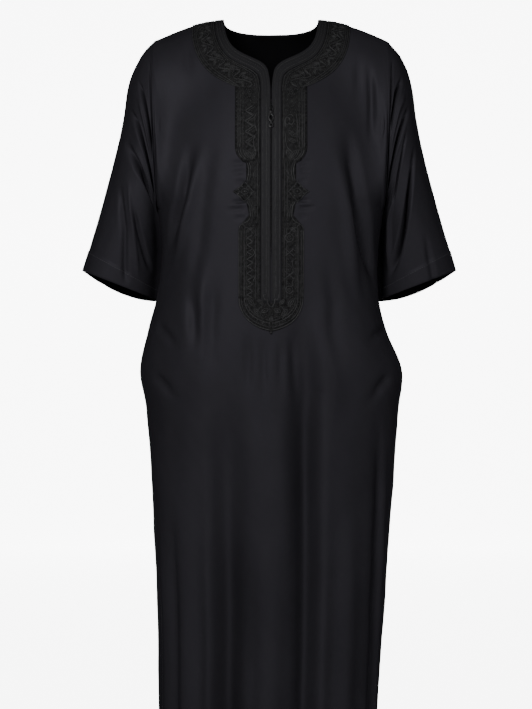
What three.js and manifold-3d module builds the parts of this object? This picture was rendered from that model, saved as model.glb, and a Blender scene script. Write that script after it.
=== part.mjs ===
// A gandoura: a long loose tunic with short wide sleeves, a round slit neck with a plain edging,
// an embroidered breast, a zip down the slit and a pocket in each side seam.
// Millimetres, +Z up, the breast faces -Y. The origin lies between the two neck ends of the
// shoulder seams, where a wearer's shoulders hold the cloth.
import * as THREE from "three";
import { mergeVertices } from "three/addons/utils/BufferGeometryUtils.js";
import Module from "manifold-3d";

const wasm = await Module();
wasm.setup();

// ---- driving sizes ----
const CLOTH = 1.4; // wall of the body and sleeves
const SEAM_GAP = 0.4; // between two pieces that are sewn together
const LAY_GAP = 0.3; // between a piece and the panel it lies on
const HEM_Z = -1420;
const UNDERARM_Z = -345;
const SEAM_Y = 8; // the shoulder and side seams lie in this plane

const SHOULDER = { neckX: 86, endX: 213, drop: 39, curve: 1.6 };
const ARMHOLE = { underarmX: 206, front: 78, back: 82 };
const CHEST = { depth: 140, rise: 2.2, roll: 1.7 };
const SHOULDER_BLADES = { depth: 128, rise: 3.0, roll: 1.7 };
const ARMHOLE_REACH = 14; // how soon the armhole's bulge fades into the panel at the underarm

// Horizontal sections of the body below the underarm, hem last: `mid` is how far the section hangs
// to the side.
const BODY = [
  { z: UNDERARM_Z, mid: 0, half: 206, front: 140, back: 128, square: 2.4 },
  { z: -420, mid: -1, half: 197, front: 139, back: 126, square: 2.4 },
  { z: -500, mid: -6, half: 201, front: 138, back: 125, square: 2.4 },
  { z: -564, mid: -7, half: 217, front: 138, back: 128, square: 2.4 },
  { z: -637, mid: 0, half: 239, front: 138, back: 133, square: 2.3 },
  { z: -710, mid: 3, half: 229, front: 137, back: 136, square: 2.3 },
  { z: -892, mid: 2, half: 217, front: 134, back: 138, square: 2.3 },
  { z: -1110, mid: -1, half: 205, front: 133, back: 139, square: 2.3 },
  { z: -1252, mid: -5, half: 200, front: 134, back: 141, square: 2.3 },
  { z: HEM_Z, mid: -6, half: 198, front: 136, back: 143, square: 2.3 },
];

// Vertical folds. `top` and `end` are heights, `from` and `to` are the turn in degrees from the
// middle of the breast towards +X, `wide` is along the cloth, and a negative depth is a trough.
const BODY_FOLDS = [
  { from: -17, to: -18, top: -560, end: HEM_Z, wide: 22, depth: -13 },
  { from: 17, to: 15, top: -500, end: HEM_Z, wide: 23, depth: -17 },
  { from: 52, to: 56, top: -740, end: HEM_Z, wide: 26, depth: -12 },
  { from: -56, to: -58, top: -820, end: HEM_Z, wide: 24, depth: -9 },
  { from: 0, to: -2, top: -700, end: HEM_Z, wide: 30, depth: 7 },
  { from: 34, to: 34, top: -700, end: HEM_Z, wide: 34, depth: 6 },
  { from: -36, to: -37, top: -700, end: HEM_Z, wide: 34, depth: 6 },
  { from: 160, to: 158, top: -330, end: HEM_Z, wide: 28, depth: -15 },
  { from: -158, to: -160, top: -300, end: HEM_Z, wide: 28, depth: -13 },
  { from: 128, to: 126, top: -640, end: HEM_Z, wide: 26, depth: -11 },
  { from: -126, to: -124, top: -700, end: HEM_Z, wide: 26, depth: -12 },
  { from: 180, to: 181, top: -420, end: HEM_Z, wide: 26, depth: 8 },
];
const BODY_DEGREE = 3.1; // mm along the cloth for a degree of turn
const BODY_SWELL = 0.55; // share of its way by which a fold has its whole depth

// Rings of a sleeve from the armhole to its hem: the outer fold, the underarm seam, the depth in
// front of and behind the plane y, how far the back hangs below the front, and how far the
// underarm seam is tucked back beside the body.
const SLEEVE = [
  { outX: 213, outZ: -39, inX: 206, inZ: -345, y: 8, front: 78, back: 82, sag: 0, tuck: 0 },
  { outX: 237, outZ: -68, inX: 206, inZ: -358, y: 9, front: 77, back: 82, sag: 0, tuck: 8 },
  { outX: 256, outZ: -114, inX: 203, inZ: -374, y: 11, front: 75, back: 82, sag: 2, tuck: 20 },
  { outX: 266, outZ: -184, inX: 200, inZ: -395, y: 14, front: 73, back: 80, sag: 5, tuck: 30 },
  { outX: 282, outZ: -258, inX: 197, inZ: -422, y: 18, front: 71, back: 78, sag: 8, tuck: 36 },
  { outX: 307, outZ: -352, inX: 194, inZ: -461, y: 23, front: 67, back: 74, sag: 11, tuck: 38 },
  { outX: 338, outZ: -456, inX: 193, inZ: -511, y: 28, front: 62, back: 70, sag: 14, tuck: 38 },
];
const SLEEVE_SWING = { right: 7, left: 0 }; // how much further out a sleeve's hem hangs
const SLEEVE_CLEAR = { right: 12, left: 0 }; // and its underarm seam at the hem

// Folds along a sleeve: `turn` in degrees from the outer fold round the front, `start` and `stop`
// as shares of the way from the armhole to the hem.
const SLEEVE_FOLDS = [
  { from: 34, to: 118, start: 0.02, stop: 0.62, wide: 17, depth: -19 },
  { from: 62, to: 104, start: 0.04, stop: 0.5, wide: 13, depth: 8 },
  { from: 92, to: 150, start: 0.05, stop: 0.8, wide: 17, depth: -15 },
  { from: 66, to: 74, start: 0.42, stop: 1.06, wide: 15, depth: -8 },
  { from: 300, to: 236, start: 0.04, stop: 0.7, wide: 20, depth: -15 },
  { from: 262, to: 214, start: 0.08, stop: 0.85, wide: 18, depth: -10 },
];
const SLEEVE_DEGREE = 1.75;
const SLEEVE_SWELL = 0.35;
const SLEEVE_FADE = 0.6; // share of its way after which a fold fades out

const POCKET = { top: -514, bottom: -676, open: 23, bow: 0.7, rim: 4, wall: 1.2, clear: 1.8, end: 9 };
// The pocket bag behind the front panel, from next to its mouth to its closed end: `turn` as for
// the folds, its middle and half height, how far it stands off the panel and how thick it is.
const POCKET_BAG = [
  { turn: 73, z: -600, high: 86, off: 5, thick: 42 },
  { turn: 63, z: -614, high: 92, off: 5, thick: 38 },
  { turn: 51, z: -634, high: 98, off: 5, thick: 30 },
  { turn: 39, z: -650, high: 92, off: 6, thick: 20 },
  { turn: 31, z: -656, high: 64, off: 7, thick: 12 },
];

const SLIT = { half: 1.2, notchZ: -141, endZ: -506 };
const EDGING = { wide: 17, thick: 1.2, below: 10 };
const EMBROIDERY = { thick: 1.4, apart: 0.6, shoulderX: 142 };
const BACK_NECK = { drop: 22, edging: 34, embroidery: 78, side: 0.7, low: 0.62 };
const ZIP_TAPE = { half: 13, thick: 1.0, overlap: 0.3, top: -150, end: -520 };
const ABOVE = 12; // where the necklines' outlines start, clear of the shoulder seams

// Half of the front neckline, three points for each of its curves, and how far each point moves out
// and down for every mm that the outline is grown.
const NECKLINE = [
  { x: SHOULDER.neckX, z: -45, out: 1, down: 0.3 },
  { x: 70, z: -58, out: 0.9, down: 0.9 },
  { x: 50, z: -69, out: 0.6, down: 1 },
  { x: 30, z: -80, out: 0.5, down: 1 },
  { x: 13, z: -83, out: 1, down: 1 },
  { x: 6, z: -100, out: 1, down: 0.5 },
  { x: 3, z: -112, out: 1, down: 0 },
  { x: SLIT.half, z: -126, out: 1, down: 0 },
  { x: SLIT.half, z: SLIT.notchZ, out: 1, down: 0 },
];

// Half of the embroidery's outer edge: neck band, plate, waist with a lozenge, and a round foot.
// A row with `by` is the end of a curve that bends towards those two points.
const EMBROIDERY_EDGE = [
  { x: EMBROIDERY.shoulderX, y: ABOVE },
  { x: EMBROIDERY.shoulderX, y: -34 },
  { x: 64, y: -130, by: [138, -82, 112, -112] },
  { x: 64, y: -240 },
  { x: 44, y: -270, by: [64, -253, 57, -263] },
  { x: 44, y: -304 },
  { x: 68, y: -320 },
  { x: 44, y: -338 },
  { x: 39, y: -362 },
  { x: 55, y: -380 },
  { x: 58, y: -388 },
  { x: 58, y: -508 },
  { x: 3, y: -568, by: [58, -544, 30, -562] },
  { x: 0, y: -574 },
];

// The zip's slider, and half outlines of its pull, from the hinge downwards.
const SLIDER = { half: 3.6, tall: 12, plate: 1.4, stem: 0.6, heel: 1.2 };
const LOOP = { hole: 1.5, rim: 3, half: 0.8 };
const PLATE_OUT = LAY_GAP + EDGING.thick + LAY_GAP;
const HINGE_OUT = PLATE_OUT + SLIDER.plate + 1.2;
const PULL_THICK = 1.6;
const PULL_EDGE = [
  { x: 3.4, y: 0.8 },
  { x: 3.4, y: -5.4 },
  { x: 5, y: -16.5, by: [2.2, -8.4, 5.4, -12] },
  { x: 1.5, y: -25.4, by: [4.6, -21, 1.4, -23.4] },
  { x: 0, y: -35.5, by: [5.4, -27.5, 5, -34.5] },
];
const PULL_EYE = [
  { x: 2, y: -0.8 },
  { x: 2, y: -4.3 },
];
const PULL_LOZENGE = [
  { x: 0, y: -10.5 },
  { x: 2.8, y: -16.5, by: [1.2, -13, 3, -14.5] },
  { x: 0, y: -21.5, by: [2.6, -18.8, 1, -20] },
];
const PULL_RING = { y: -30.2, hole: 1.7 };
const SLIDER_ROW = 6; // the slider sits half way between this row of the yoke and the next

const COLOURS = { cloth: 0x27272b, edging: 0x222224, thread: 0x1d1e1d, tape: 0x161617, metal: 0x0c0c0d };
const FINISHES = {
  cloth: new THREE.MeshStandardMaterial({ color: COLOURS.cloth, roughness: 0.62, metalness: 0 }),
  edging: new THREE.MeshStandardMaterial({ color: COLOURS.edging, roughness: 0.7, metalness: 0 }),
  thread: new THREE.MeshStandardMaterial({ color: COLOURS.thread, roughness: 0.5, metalness: 0 }),
  tape: new THREE.MeshStandardMaterial({ color: COLOURS.tape, roughness: 0.85, metalness: 0 }),
  metal: new THREE.MeshStandardMaterial({ color: COLOURS.metal, roughness: 0.3, metalness: 0.6 }),
};

const FRONT = -1; // the side that a panel lies on, as the sign of Y
const BACK = 1;
const RIGHT_HAND = -1; // the wearer's hands, as the sign of X
const LEFT_HAND = 1;

// ---- small sums ----
const mix = (a, b, t) => a + (b - a) * t;
const power = (value, p) => Math.sign(value) * Math.abs(value) ** p;
const radians = THREE.MathUtils.degToRad;
const ease = THREE.MathUtils.smoothstep; // (value, from, to)

// The value of a table's column at a place along another column, by a smooth curve through the rows.
function tableValue(table, by, at, column) {
  const rising = table[0][by] < table[table.length - 1][by] ? 1 : -1;
  let i = 0;
  while (i < table.length - 2 && rising * (at - table[i + 1][by]) > 0) i++;
  const a = table[i];
  const b = table[i + 1];
  const before = table[Math.max(0, i - 1)];
  const after = table[Math.min(table.length - 1, i + 2)];
  const span = b[by] - a[by];
  const t = THREE.MathUtils.clamp((at - a[by]) / span, 0, 1);
  const slopeA = ((b[column] - before[column]) / (b[by] - before[by])) * span;
  const slopeB = ((after[column] - a[column]) / (after[by] - a[by])) * span;
  const t2 = t * t;
  const t3 = t2 * t;
  return (
    (2 * t3 - 3 * t2 + 1) * a[column] +
    (t3 - 2 * t2 + t) * slopeA +
    (3 * t2 - 2 * t3) * b[column] +
    (t3 - t2) * slopeB
  );
}

// A fold's depth where the cloth lies `away` mm to its side and `along` of its way down.
function foldShape(fold, away, along, swell) {
  return fold.depth * ease(along, 0, swell) * Math.exp(-((away / fold.wide) ** 2));
}

// How far one turn lies past another, from -180 to 180 degrees.
const turnPast = (turn, from) => ((((turn - from) % 360) + 540) % 360) - 180;

// Half an outline and its mirror image, as points in one loop.
function mirrored(rows, divisions) {
  const path = new THREE.Path();
  path.moveTo(rows[0].x, rows[0].y);
  for (const row of rows.slice(1)) {
    if (row.by) path.bezierCurveTo(...row.by, row.x, row.y);
    else path.lineTo(row.x, row.y);
  }
  const half = path.getPoints(divisions);
  const other = half.map((p) => new THREE.Vector2(-p.x, p.y)).filter((p) => p.x < 0);
  return [...half, ...other.reverse()];
}

// ---- the body's surface ----
const seamHeight = (x) => {
  const out = Math.max(0, Math.abs(x) - SHOULDER.neckX) / (SHOULDER.endX - SHOULDER.neckX);
  return -SHOULDER.drop * out ** SHOULDER.curve;
};

const pocketTurn = (z) => {
  const along = (z - POCKET.bottom) / (POCKET.top - POCKET.bottom);
  if (along <= 0 || along >= 1) return 0;
  const width = POCKET.open * Math.sin(Math.PI * along) ** POCKET.bow;
  return Math.asin((width / CHEST.depth) ** (tableValue(BODY, "z", z, "square") / 2));
};

// Below the underarm: `turn` runs from 0 at the middle of the panel to 90 degrees at the side.
function skirtPoint(side, turn, z) {
  const half = tableValue(BODY, "z", z, "half");
  const depth = tableValue(BODY, "z", z, side === FRONT ? "front" : "back");
  const p = 2 / tableValue(BODY, "z", z, "square");
  const x = tableValue(BODY, "z", z, "mid") + half * power(Math.sin(turn), p);
  return new THREE.Vector3(x, SEAM_Y + side * depth * power(Math.cos(turn), p), z);
}

// Above the underarm: `rise` is 0 at the underarm and 1 at the shoulder seam and armhole's top.
function yokePoint(side, turn, rise) {
  const shape = side === FRONT ? CHEST : SHOULDER_BLADES;
  const square = BODY[0].square;
  const fall = (1 + Math.cos(Math.PI * rise)) / 2;
  const across = power(Math.sin(turn), 2 / square);
  const x = mix(SHOULDER.endX, ARMHOLE.underarmX, fall) * across;
  const top = seamHeight(x);
  const middle = shape.depth * (1 - (1 - fall) ** shape.rise) ** (1 / shape.roll);
  const edge = (side === FRONT ? ARMHOLE.front : ARMHOLE.back) * Math.sin(Math.PI * rise);
  const low = ease(fall, 0.05, 0.95);
  const bowed = Math.max(0, 1 - Math.abs(across) ** square) ** mix(1, 1 / square, low);
  const depth = middle * bowed + edge * Math.abs(across) ** mix(square, ARMHOLE_REACH, low);
  return new THREE.Vector3(x, SEAM_Y + side * depth, mix(top, UNDERARM_Z, fall));
}

// A point of a panel before folding: `across` from -1 to 1, `up` 0 at the hem, 1 at the underarm
// and 2 at the shoulder seam.
function panelBase(side, across, up) {
  if (up > 1) return yokePoint(side, (across * Math.PI) / 2, up - 1);
  const z = mix(HEM_Z, UNDERARM_Z, up);
  return skirtPoint(side, across * (Math.PI / 2 - pocketTurn(z)), z);
}

function panelFold(side, across, point) {
  const turn = side === FRONT ? 90 * across : 180 - 90 * across;
  let depth = 0;
  for (const fold of BODY_FOLDS) {
    const along = (fold.top - point.z) / (fold.top - fold.end);
    if (along <= 0) continue;
    const away = turnPast(turn, mix(fold.from, fold.to, along)) * BODY_DEGREE;
    depth += foldShape(fold, away, along, BODY_SWELL);
  }
  return depth;
}

// The unit normal of a surface given as a function of two numbers, by small steps.
function normalOf(surface, a, b, outward) {
  const step = 1e-3;
  const da = surface(a + step, b).sub(surface(a - step, b));
  const db = surface(a, b + step).sub(surface(a, b - step));
  const normal = da.cross(db).normalize();
  return outward(normal) < 0 ? normal.negate() : normal;
}

// The heart of the chest: a normal near the shoulders points away from it.
const HEART_Z = -200;

function panelNormal(across, up, surface) {
  const a = THREE.MathUtils.clamp(across, -0.985, 0.985);
  const b = THREE.MathUtils.clamp(up, 0.002, 1.985);
  const here = surface(a, b);
  const away = new THREE.Vector3(here.x, here.y - SEAM_Y, Math.max(0, here.z - HEART_Z));
  return normalOf(surface, a, b, (n) => n.dot(away));
}

function panelPoint(side, across, up) {
  const base = panelBase(side, across, up);
  const push = panelFold(side, across, base);
  if (push === 0) return base;
  return base.addScaledVector(panelNormal(across, up, (a, b) => panelBase(side, a, b)), push);
}

// The armhole's plane leans: its unit normal, out of the body on that side.
function armholeNormal(hand) {
  const lean = (SHOULDER.endX - ARMHOLE.underarmX) / (UNDERARM_Z + SHOULDER.drop);
  return new THREE.Vector3(hand, 0, lean).normalize();
}

// Turns a normal into a seam's own plane, so that both pieces end in parallel planes.
function flatten(normal, plane) {
  const out = normal.dot(plane);
  const share = 1 - ease(Math.abs(out), 0.75, 0.97);
  return normal.addScaledVector(plane, -out * share).normalize();
}

// ---- closed walls ----
// A wall between two grids of points of the same size: rows of columns, `round` if each row closes.
function wallGeometry(outer, inner, round) {
  const rows = outer.length;
  const columns = outer[0].length;
  const positions = [];
  for (const p of [outer, inner].flat(2)) positions.push(p.x, p.y, p.z);
  const at = (layer, r, c) => layer * rows * columns + r * columns + (c % columns);
  const faces = [];
  const quad = (a, b, c, d) => faces.push(a, b, c, a, c, d);
  const lastColumn = round ? columns : columns - 1;
  for (let r = 0; r < rows - 1; r++) {
    for (let c = 0; c < lastColumn; c++) {
      quad(at(0, r, c), at(0, r, c + 1), at(0, r + 1, c + 1), at(0, r + 1, c));
      quad(at(1, r, c), at(1, r + 1, c), at(1, r + 1, c + 1), at(1, r, c + 1));
    }
    if (round) continue;
    quad(at(0, r, 0), at(0, r + 1, 0), at(1, r + 1, 0), at(1, r, 0));
    quad(at(0, r, lastColumn), at(1, r, lastColumn), at(1, r + 1, lastColumn), at(0, r + 1, lastColumn));
  }
  for (let c = 0; c < lastColumn; c++) {
    quad(at(0, 0, c), at(1, 0, c), at(1, 0, c + 1), at(0, 0, c + 1));
    quad(at(0, rows - 1, c), at(0, rows - 1, c + 1), at(1, rows - 1, c + 1), at(1, rows - 1, c));
  }
  const geometry = new THREE.BufferGeometry();
  geometry.setAttribute("position", new THREE.Float32BufferAttribute(positions, 3));
  geometry.setIndex(faces);
  return geometry;
}

// The triangles between closed rings of `columns` points each.
function ringFaces(rings, columns) {
  const faces = [];
  for (let c = 0; c < columns; c++) {
    const next = (c + 1) % columns;
    for (let low = 0; low < (rings - 1) * columns; low += columns) {
      const high = low + columns;
      faces.push([low + c, low + next, high + next], [low + c, high + next, high + c]);
    }
  }
  return faces;
}

// The normals of a faceted skin at its points.
function skinNormals(points, faces) {
  const geometry = new THREE.BufferGeometry().setFromPoints(points);
  geometry.setIndex(faces.flat());
  geometry.computeVertexNormals();
  const normals = geometry.getAttribute("normal");
  return points.map((p, i) => new THREE.Vector3().fromBufferAttribute(normals, i));
}

// A geometry as a solid of the boolean library, faces out.
function solidOf(geometry) {
  const bare = geometry.index ? geometry.toNonIndexed() : geometry.clone();
  const plain = new THREE.BufferGeometry().setAttribute("position", bare.getAttribute("position"));
  const merged = mergeVertices(plain, 1e-4);
  const triVerts = new Uint32Array(merged.index.array);
  const vertProperties = merged.attributes.position.array;
  const solid = new wasm.Manifold(new wasm.Mesh({ numProp: 3, vertProperties, triVerts }));
  if (solid.volume() > 0) return solid;
  for (let i = 0; i < triVerts.length; i += 3) {
    [triVerts[i + 1], triVerts[i + 2]] = [triVerts[i + 2], triVerts[i + 1]];
  }
  return new wasm.Manifold(new wasm.Mesh({ numProp: 3, vertProperties, triVerts }));
}

function geometryOf(solid) {
  const mesh = solid.getMesh();
  const points = new Float32Array(mesh.numVert * 3);
  for (let i = 0; i < mesh.numVert; i++) {
    points.set(mesh.vertProperties.subarray(i * mesh.numProp, i * mesh.numProp + 3), i * 3);
  }
  const geometry = new THREE.BufferGeometry();
  geometry.setAttribute("position", new THREE.BufferAttribute(points, 3));
  geometry.setIndex(new THREE.BufferAttribute(mesh.triVerts, 1));
  geometry.computeVertexNormals();
  return geometry;
}

function named(name, solid, finish) {
  const mesh = new THREE.Mesh(geometryOf(solid), finish);
  mesh.name = name;
  return mesh;
}

// ---- panels ----
const PANEL_COLUMNS = 20;
const YOKE_ROWS = 13;
// Bands of even rows, from the hem to the underarm: close together where the pockets stand out.
const ROW_BANDS = [
  { from: HEM_Z, to: -730, rows: 5 },
  { from: -730, to: -490, rows: 6 },
  { from: -490, to: UNDERARM_Z, rows: 2 },
];

const panelHeights = () => {
  const heights = [];
  for (const band of ROW_BANDS) {
    for (let i = 0; i < band.rows; i++) {
      heights.push((mix(band.from, band.to, i / band.rows) - HEM_Z) / (UNDERARM_Z - HEM_Z));
    }
  }
  for (let i = 0; i <= YOKE_ROWS; i++) heights.push(1 + i / YOKE_ROWS);
  return heights;
};

// The wall between two offsets from a panel's surface, its sewn edges drawn back by half a seam gap.
function panelShell(side, low, high, sewn = true) {
  const outer = [];
  const inner = [];
  for (const up of panelHeights()) {
    const outerRow = [];
    const innerRow = [];
    for (let i = 0; i <= PANEL_COLUMNS; i++) {
      const across = mix(-1, 1, i / PANEL_COLUMNS);
      const point = panelPoint(side, across, up);
      const normal = panelNormal(across, up, (a, b) => panelPoint(side, a, b));
      const atSide = i === 0 || i === PANEL_COLUMNS;
      if (atSide && up >= 1) flatten(normal, armholeNormal(Math.sign(across)));
      if ((atSide && up <= 1) || up === 2) flatten(normal, new THREE.Vector3(0, 1, 0));
      if (sewn && atSide && up >= 1) point.x -= (Math.sign(across) * SEAM_GAP) / 2;
      if (sewn && ((atSide && up <= 1) || up === 2)) point.y += (side * SEAM_GAP) / 2;
      outerRow.push(point.clone().addScaledVector(normal, high));
      innerRow.push(point.clone().addScaledVector(normal, low));
    }
    outer.push(outerRow);
    inner.push(innerRow);
  }
  return solidOf(wallGeometry(outer, inner, false));
}

// ---- outlines, drawn in the X-Z plane and cut through along Y ----
const REACH = 400; // past every panel
const CURVE_STEPS = 4;

function cutter(shape, side) {
  const options = { depth: REACH, bevelEnabled: false, curveSegments: CURVE_STEPS };
  const geometry = new THREE.ExtrudeGeometry(shape, options);
  geometry.rotateX(Math.PI / 2);
  geometry.translate(0, side === FRONT ? SEAM_Y : SEAM_Y + REACH, 0);
  return solidOf(geometry);
}

// The front neckline's two halves grown outwards by `grow`, and the slit down to `endZ`.
function frontNeckShape(grow, endZ) {
  const half = (hand) => {
    const path = new THREE.Path();
    path.moveTo(hand * (SHOULDER.neckX + grow), ABOVE);
    for (let i = 0; i < NECKLINE.length; i += 3) {
      const curve = NECKLINE.slice(i, i + 3);
      const ends = curve.flatMap((p) => [hand * (p.x + p.out * grow), p.z - p.down * grow]);
      path.bezierCurveTo(...ends);
    }
    path.lineTo(hand * (SLIT.half + grow), endZ);
    return path.getPoints(CURVE_STEPS);
  };
  return new THREE.Shape([...half(LEFT_HAND), ...half(RIGHT_HAND).reverse()]);
}

// A shallow curve across the back: the neckline and the lower edges of its bands.
function backNeckShape(half, drop) {
  const top = seamHeight(half) + 1;
  const side = -BACK_NECK.side * drop;
  const low = BACK_NECK.low * half;
  const shape = new THREE.Shape();
  shape.moveTo(-half, ABOVE);
  shape.lineTo(-half, top);
  shape.bezierCurveTo(-half, side, -low, -drop, 0, -drop);
  shape.bezierCurveTo(low, -drop, half, side, half, top);
  shape.lineTo(half, ABOVE);
  return shape;
}

function buildFront() {
  const panel = panelShell(FRONT, -CLOTH, 0);
  return named("front", panel.subtract(cutter(frontNeckShape(0, SLIT.endZ), FRONT)), FINISHES.cloth);
}

function buildBack() {
  const panel = panelShell(BACK, -CLOTH, 0);
  const neck = cutter(backNeckShape(SHOULDER.neckX, BACK_NECK.drop), BACK);
  return named("back", panel.subtract(neck), FINISHES.cloth);
}

// ---- what lies on the panels ----
// Keeps one side of the middle line.
function handHalf(hand) {
  const box = new THREE.BoxGeometry(REACH, 2 * REACH, 4 * REACH);
  box.translate(hand * (REACH / 2 + SLIT.half), 0, 0);
  return solidOf(box);
}

function buildEdging() {
  const low = LAY_GAP;
  const high = LAY_GAP + EDGING.thick;
  const front = panelShell(FRONT, low, high)
    .intersect(cutter(frontNeckShape(EDGING.wide, SLIT.endZ - EDGING.below), FRONT))
    .subtract(cutter(frontNeckShape(0, SLIT.endZ - EDGING.wide), FRONT));
  const back = panelShell(BACK, low, high)
    .intersect(cutter(backNeckShape(SHOULDER.neckX + EDGING.wide, BACK_NECK.edging), BACK))
    .subtract(cutter(backNeckShape(SHOULDER.neckX, BACK_NECK.drop), BACK));
  return [
    named("edging_right", front.intersect(handHalf(RIGHT_HAND)), FINISHES.edging),
    named("edging_left", front.intersect(handHalf(LEFT_HAND)), FINISHES.edging),
    named("edging_back", back, FINISHES.edging),
  ];
}

function buildEmbroidery() {
  const low = LAY_GAP;
  const high = LAY_GAP + EMBROIDERY.thick;
  const inner = EDGING.wide + EMBROIDERY.apart;
  const front = panelShell(FRONT, low, high)
    .intersect(cutter(new THREE.Shape(mirrored(EMBROIDERY_EDGE, CURVE_STEPS)), FRONT))
    .subtract(cutter(frontNeckShape(inner, SLIT.endZ - EDGING.below - 2 * EMBROIDERY.apart), FRONT));
  const innerDrop = BACK_NECK.edging + EMBROIDERY.apart;
  const back = panelShell(BACK, low, high)
    .intersect(cutter(backNeckShape(EMBROIDERY.shoulderX, BACK_NECK.embroidery), BACK))
    .subtract(cutter(backNeckShape(SHOULDER.neckX + inner, innerDrop), BACK));
  return [
    named("embroidery_front", front, FINISHES.thread),
    named("embroidery_back", back, FINISHES.thread),
  ];
}

// ---- sleeves ----
const SLEEVE_RINGS = 12;
const SLEEVE_SPOKES = 20;
const RING_SPREAD = 1.15; // rings lie closer together towards the armhole

function sleeveBase(hand, turn, along) {
  const row = (column) => tableValue(SLEEVE_STEPS, "share", along, column);
  const c = Math.cos(turn);
  const s = Math.sin(turn);
  const side = hand === RIGHT_HAND ? "right" : "left";
  const inward = (1 - c) / 2;
  const outer = row("outX") + SLEEVE_SWING[side] * along;
  const x = mix(outer, row("inX") + SLEEVE_CLEAR[side] * along ** 2, inward);
  const z = mix(row("outZ"), row("inZ"), inward) - Math.min(0, s) ** 2 * row("sag");
  const y = row("y") - s * (s > 0 ? row("front") : row("back")) + row("tuck") * inward ** 3;
  return new THREE.Vector3(hand * x, y, z);
}

const SLEEVE_STEPS = SLEEVE.map((row, i) => ({ ...row, share: i / (SLEEVE.length - 1) }));

function sleeveNormal(hand, turn, along) {
  const b = THREE.MathUtils.clamp(along, 0.004, 0.996);
  const across = sleeveBase(hand, turn, b).sub(sleeveBase(hand, turn + Math.PI, b));
  return normalOf((t, way) => sleeveBase(hand, t, way), turn, b, (n) => n.dot(across));
}

function sleevePoint(hand, turn, along) {
  const base = sleeveBase(hand, turn, along);
  let push = 0;
  for (const fold of SLEEVE_FOLDS) {
    const way = (along - fold.start) / (fold.stop - fold.start);
    if (way <= 0 || way >= 1) continue;
    const centre = mix(fold.from, fold.to, way);
    const away = turnPast(THREE.MathUtils.radToDeg(turn), centre) * SLEEVE_DEGREE;
    push += foldShape(fold, away, way, SLEEVE_SWELL) * (1 - ease(way, SLEEVE_FADE, 1));
  }
  if (push === 0) return base;
  return base.addScaledVector(sleeveNormal(hand, turn, along), push);
}

function buildSleeve(name, hand) {
  const outer = [];
  for (let r = 0; r <= SLEEVE_RINGS; r++) {
    const ring = [];
    const along = (r / SLEEVE_RINGS) ** RING_SPREAD;
    for (let c = 0; c < SLEEVE_SPOKES; c++) {
      const turn = (2 * Math.PI * c) / SLEEVE_SPOKES;
      ring.push(sleevePoint(hand, turn, along));
    }
    outer.push(ring);
  }
  const normals = skinNormals(outer.flat(), ringFaces(outer.length, SLEEVE_SPOKES));
  const inner = outer.map((ring, r) => ring.map((point, c) => {
    const normal = normals[r * SLEEVE_SPOKES + c];
    if (r === 0) {
      flatten(normal, armholeNormal(hand));
      point.x += (hand * SEAM_GAP) / 2;
    }
    return point.clone().addScaledVector(normal, -hand * CLOTH);
  }));
  return named(name, solidOf(wallGeometry(outer, inner, true)), FINISHES.cloth);
}

// ---- pockets ----
const BAG_SPOKES = 12;

// The mouth of a pocket bag: a lens just inside the slit in the side seam.
function pocketMouth(hand) {
  const ring = [];
  const middle = (POCKET.top + POCKET.bottom) / 2;
  const reach = (POCKET.top - POCKET.bottom) / 2 + POCKET.rim;
  for (let i = 0; i < BAG_SPOKES; i++) {
    const turn = (2 * Math.PI * i) / BAG_SPOKES;
    const z = middle + reach * Math.cos(turn);
    const y = SEAM_Y - (POCKET.open + POCKET.rim) * Math.sin(turn);
    const depth = tableValue(BODY, "z", z, y < SEAM_Y ? "front" : "back");
    const square = tableValue(BODY, "z", z, "square");
    const share = (1 - (Math.abs(y - SEAM_Y) / depth) ** square) ** (1 / square);
    const x = tableValue(BODY, "z", z, "half") * share - CLOTH - POCKET.clear;
    ring.push(new THREE.Vector3(tableValue(BODY, "z", z, "mid") + hand * x, y, z));
  }
  return ring;
}

// A ring of the bag, flat against the front panel's inside.
function bagRing(hand, row) {
  const ring = [];
  const surface = (turn, z) => skirtPoint(FRONT, turn, z);
  const side = hand * radians(row.turn);
  for (let i = 0; i < BAG_SPOKES; i++) {
    const turn = (2 * Math.PI * i) / BAG_SPOKES;
    const z = row.z + row.high * Math.cos(turn);
    const swell = (row.thick / 2) * power(Math.sin(turn), 0.8);
    const normal = normalOf(surface, side, z, (n) => hand * n.x - n.y);
    ring.push(surface(side, z).addScaledVector(normal, swell - row.off - row.thick / 2));
  }
  return ring;
}

// The bag's wall: its outer skin from the mouth to the closed end, and the same skin drawn in.
function bagGeometry(hand) {
  const rings = [pocketMouth(hand), ...POCKET_BAG.map((row) => bagRing(hand, row))];
  const end = new THREE.Vector3();
  for (const p of rings[rings.length - 1]) end.addScaledVector(p, 1 / BAG_SPOKES);
  end.x -= hand * POCKET.end;
  const points = [...rings.flat(), end];
  const skin = ringFaces(rings.length, BAG_SPOKES);
  const lastRing = (rings.length - 1) * BAG_SPOKES;
  for (let c = 0; c < BAG_SPOKES; c++) {
    skin.push([lastRing + c, lastRing + ((c + 1) % BAG_SPOKES), points.length - 1]);
  }
  const normals = skinNormals(points, skin);
  const inner = points.map((p, i) => p.clone().addScaledVector(normals[i], hand * POCKET.wall));
  const faces = skin.flat();
  for (const [a, b, c] of skin) faces.push(a + points.length, c + points.length, b + points.length);
  for (let c = 0; c < BAG_SPOKES; c++) {
    const next = (c + 1) % BAG_SPOKES;
    faces.push(next, c, c + points.length, next, c + points.length, next + points.length);
  }
  const wall = new THREE.BufferGeometry().setFromPoints([...points, ...inner]);
  wall.setIndex(faces);
  return wall;
}

// The mouth is trimmed to lie a seam's gap behind both panels.
function buildPocket(name, hand) {
  let bag = solidOf(bagGeometry(hand));
  for (const side of [FRONT, BACK]) bag = bag.subtract(panelShell(side, -CLOTH - SEAM_GAP, CLOTH, false));
  return named(name, bag, FINISHES.edging);
}

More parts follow.
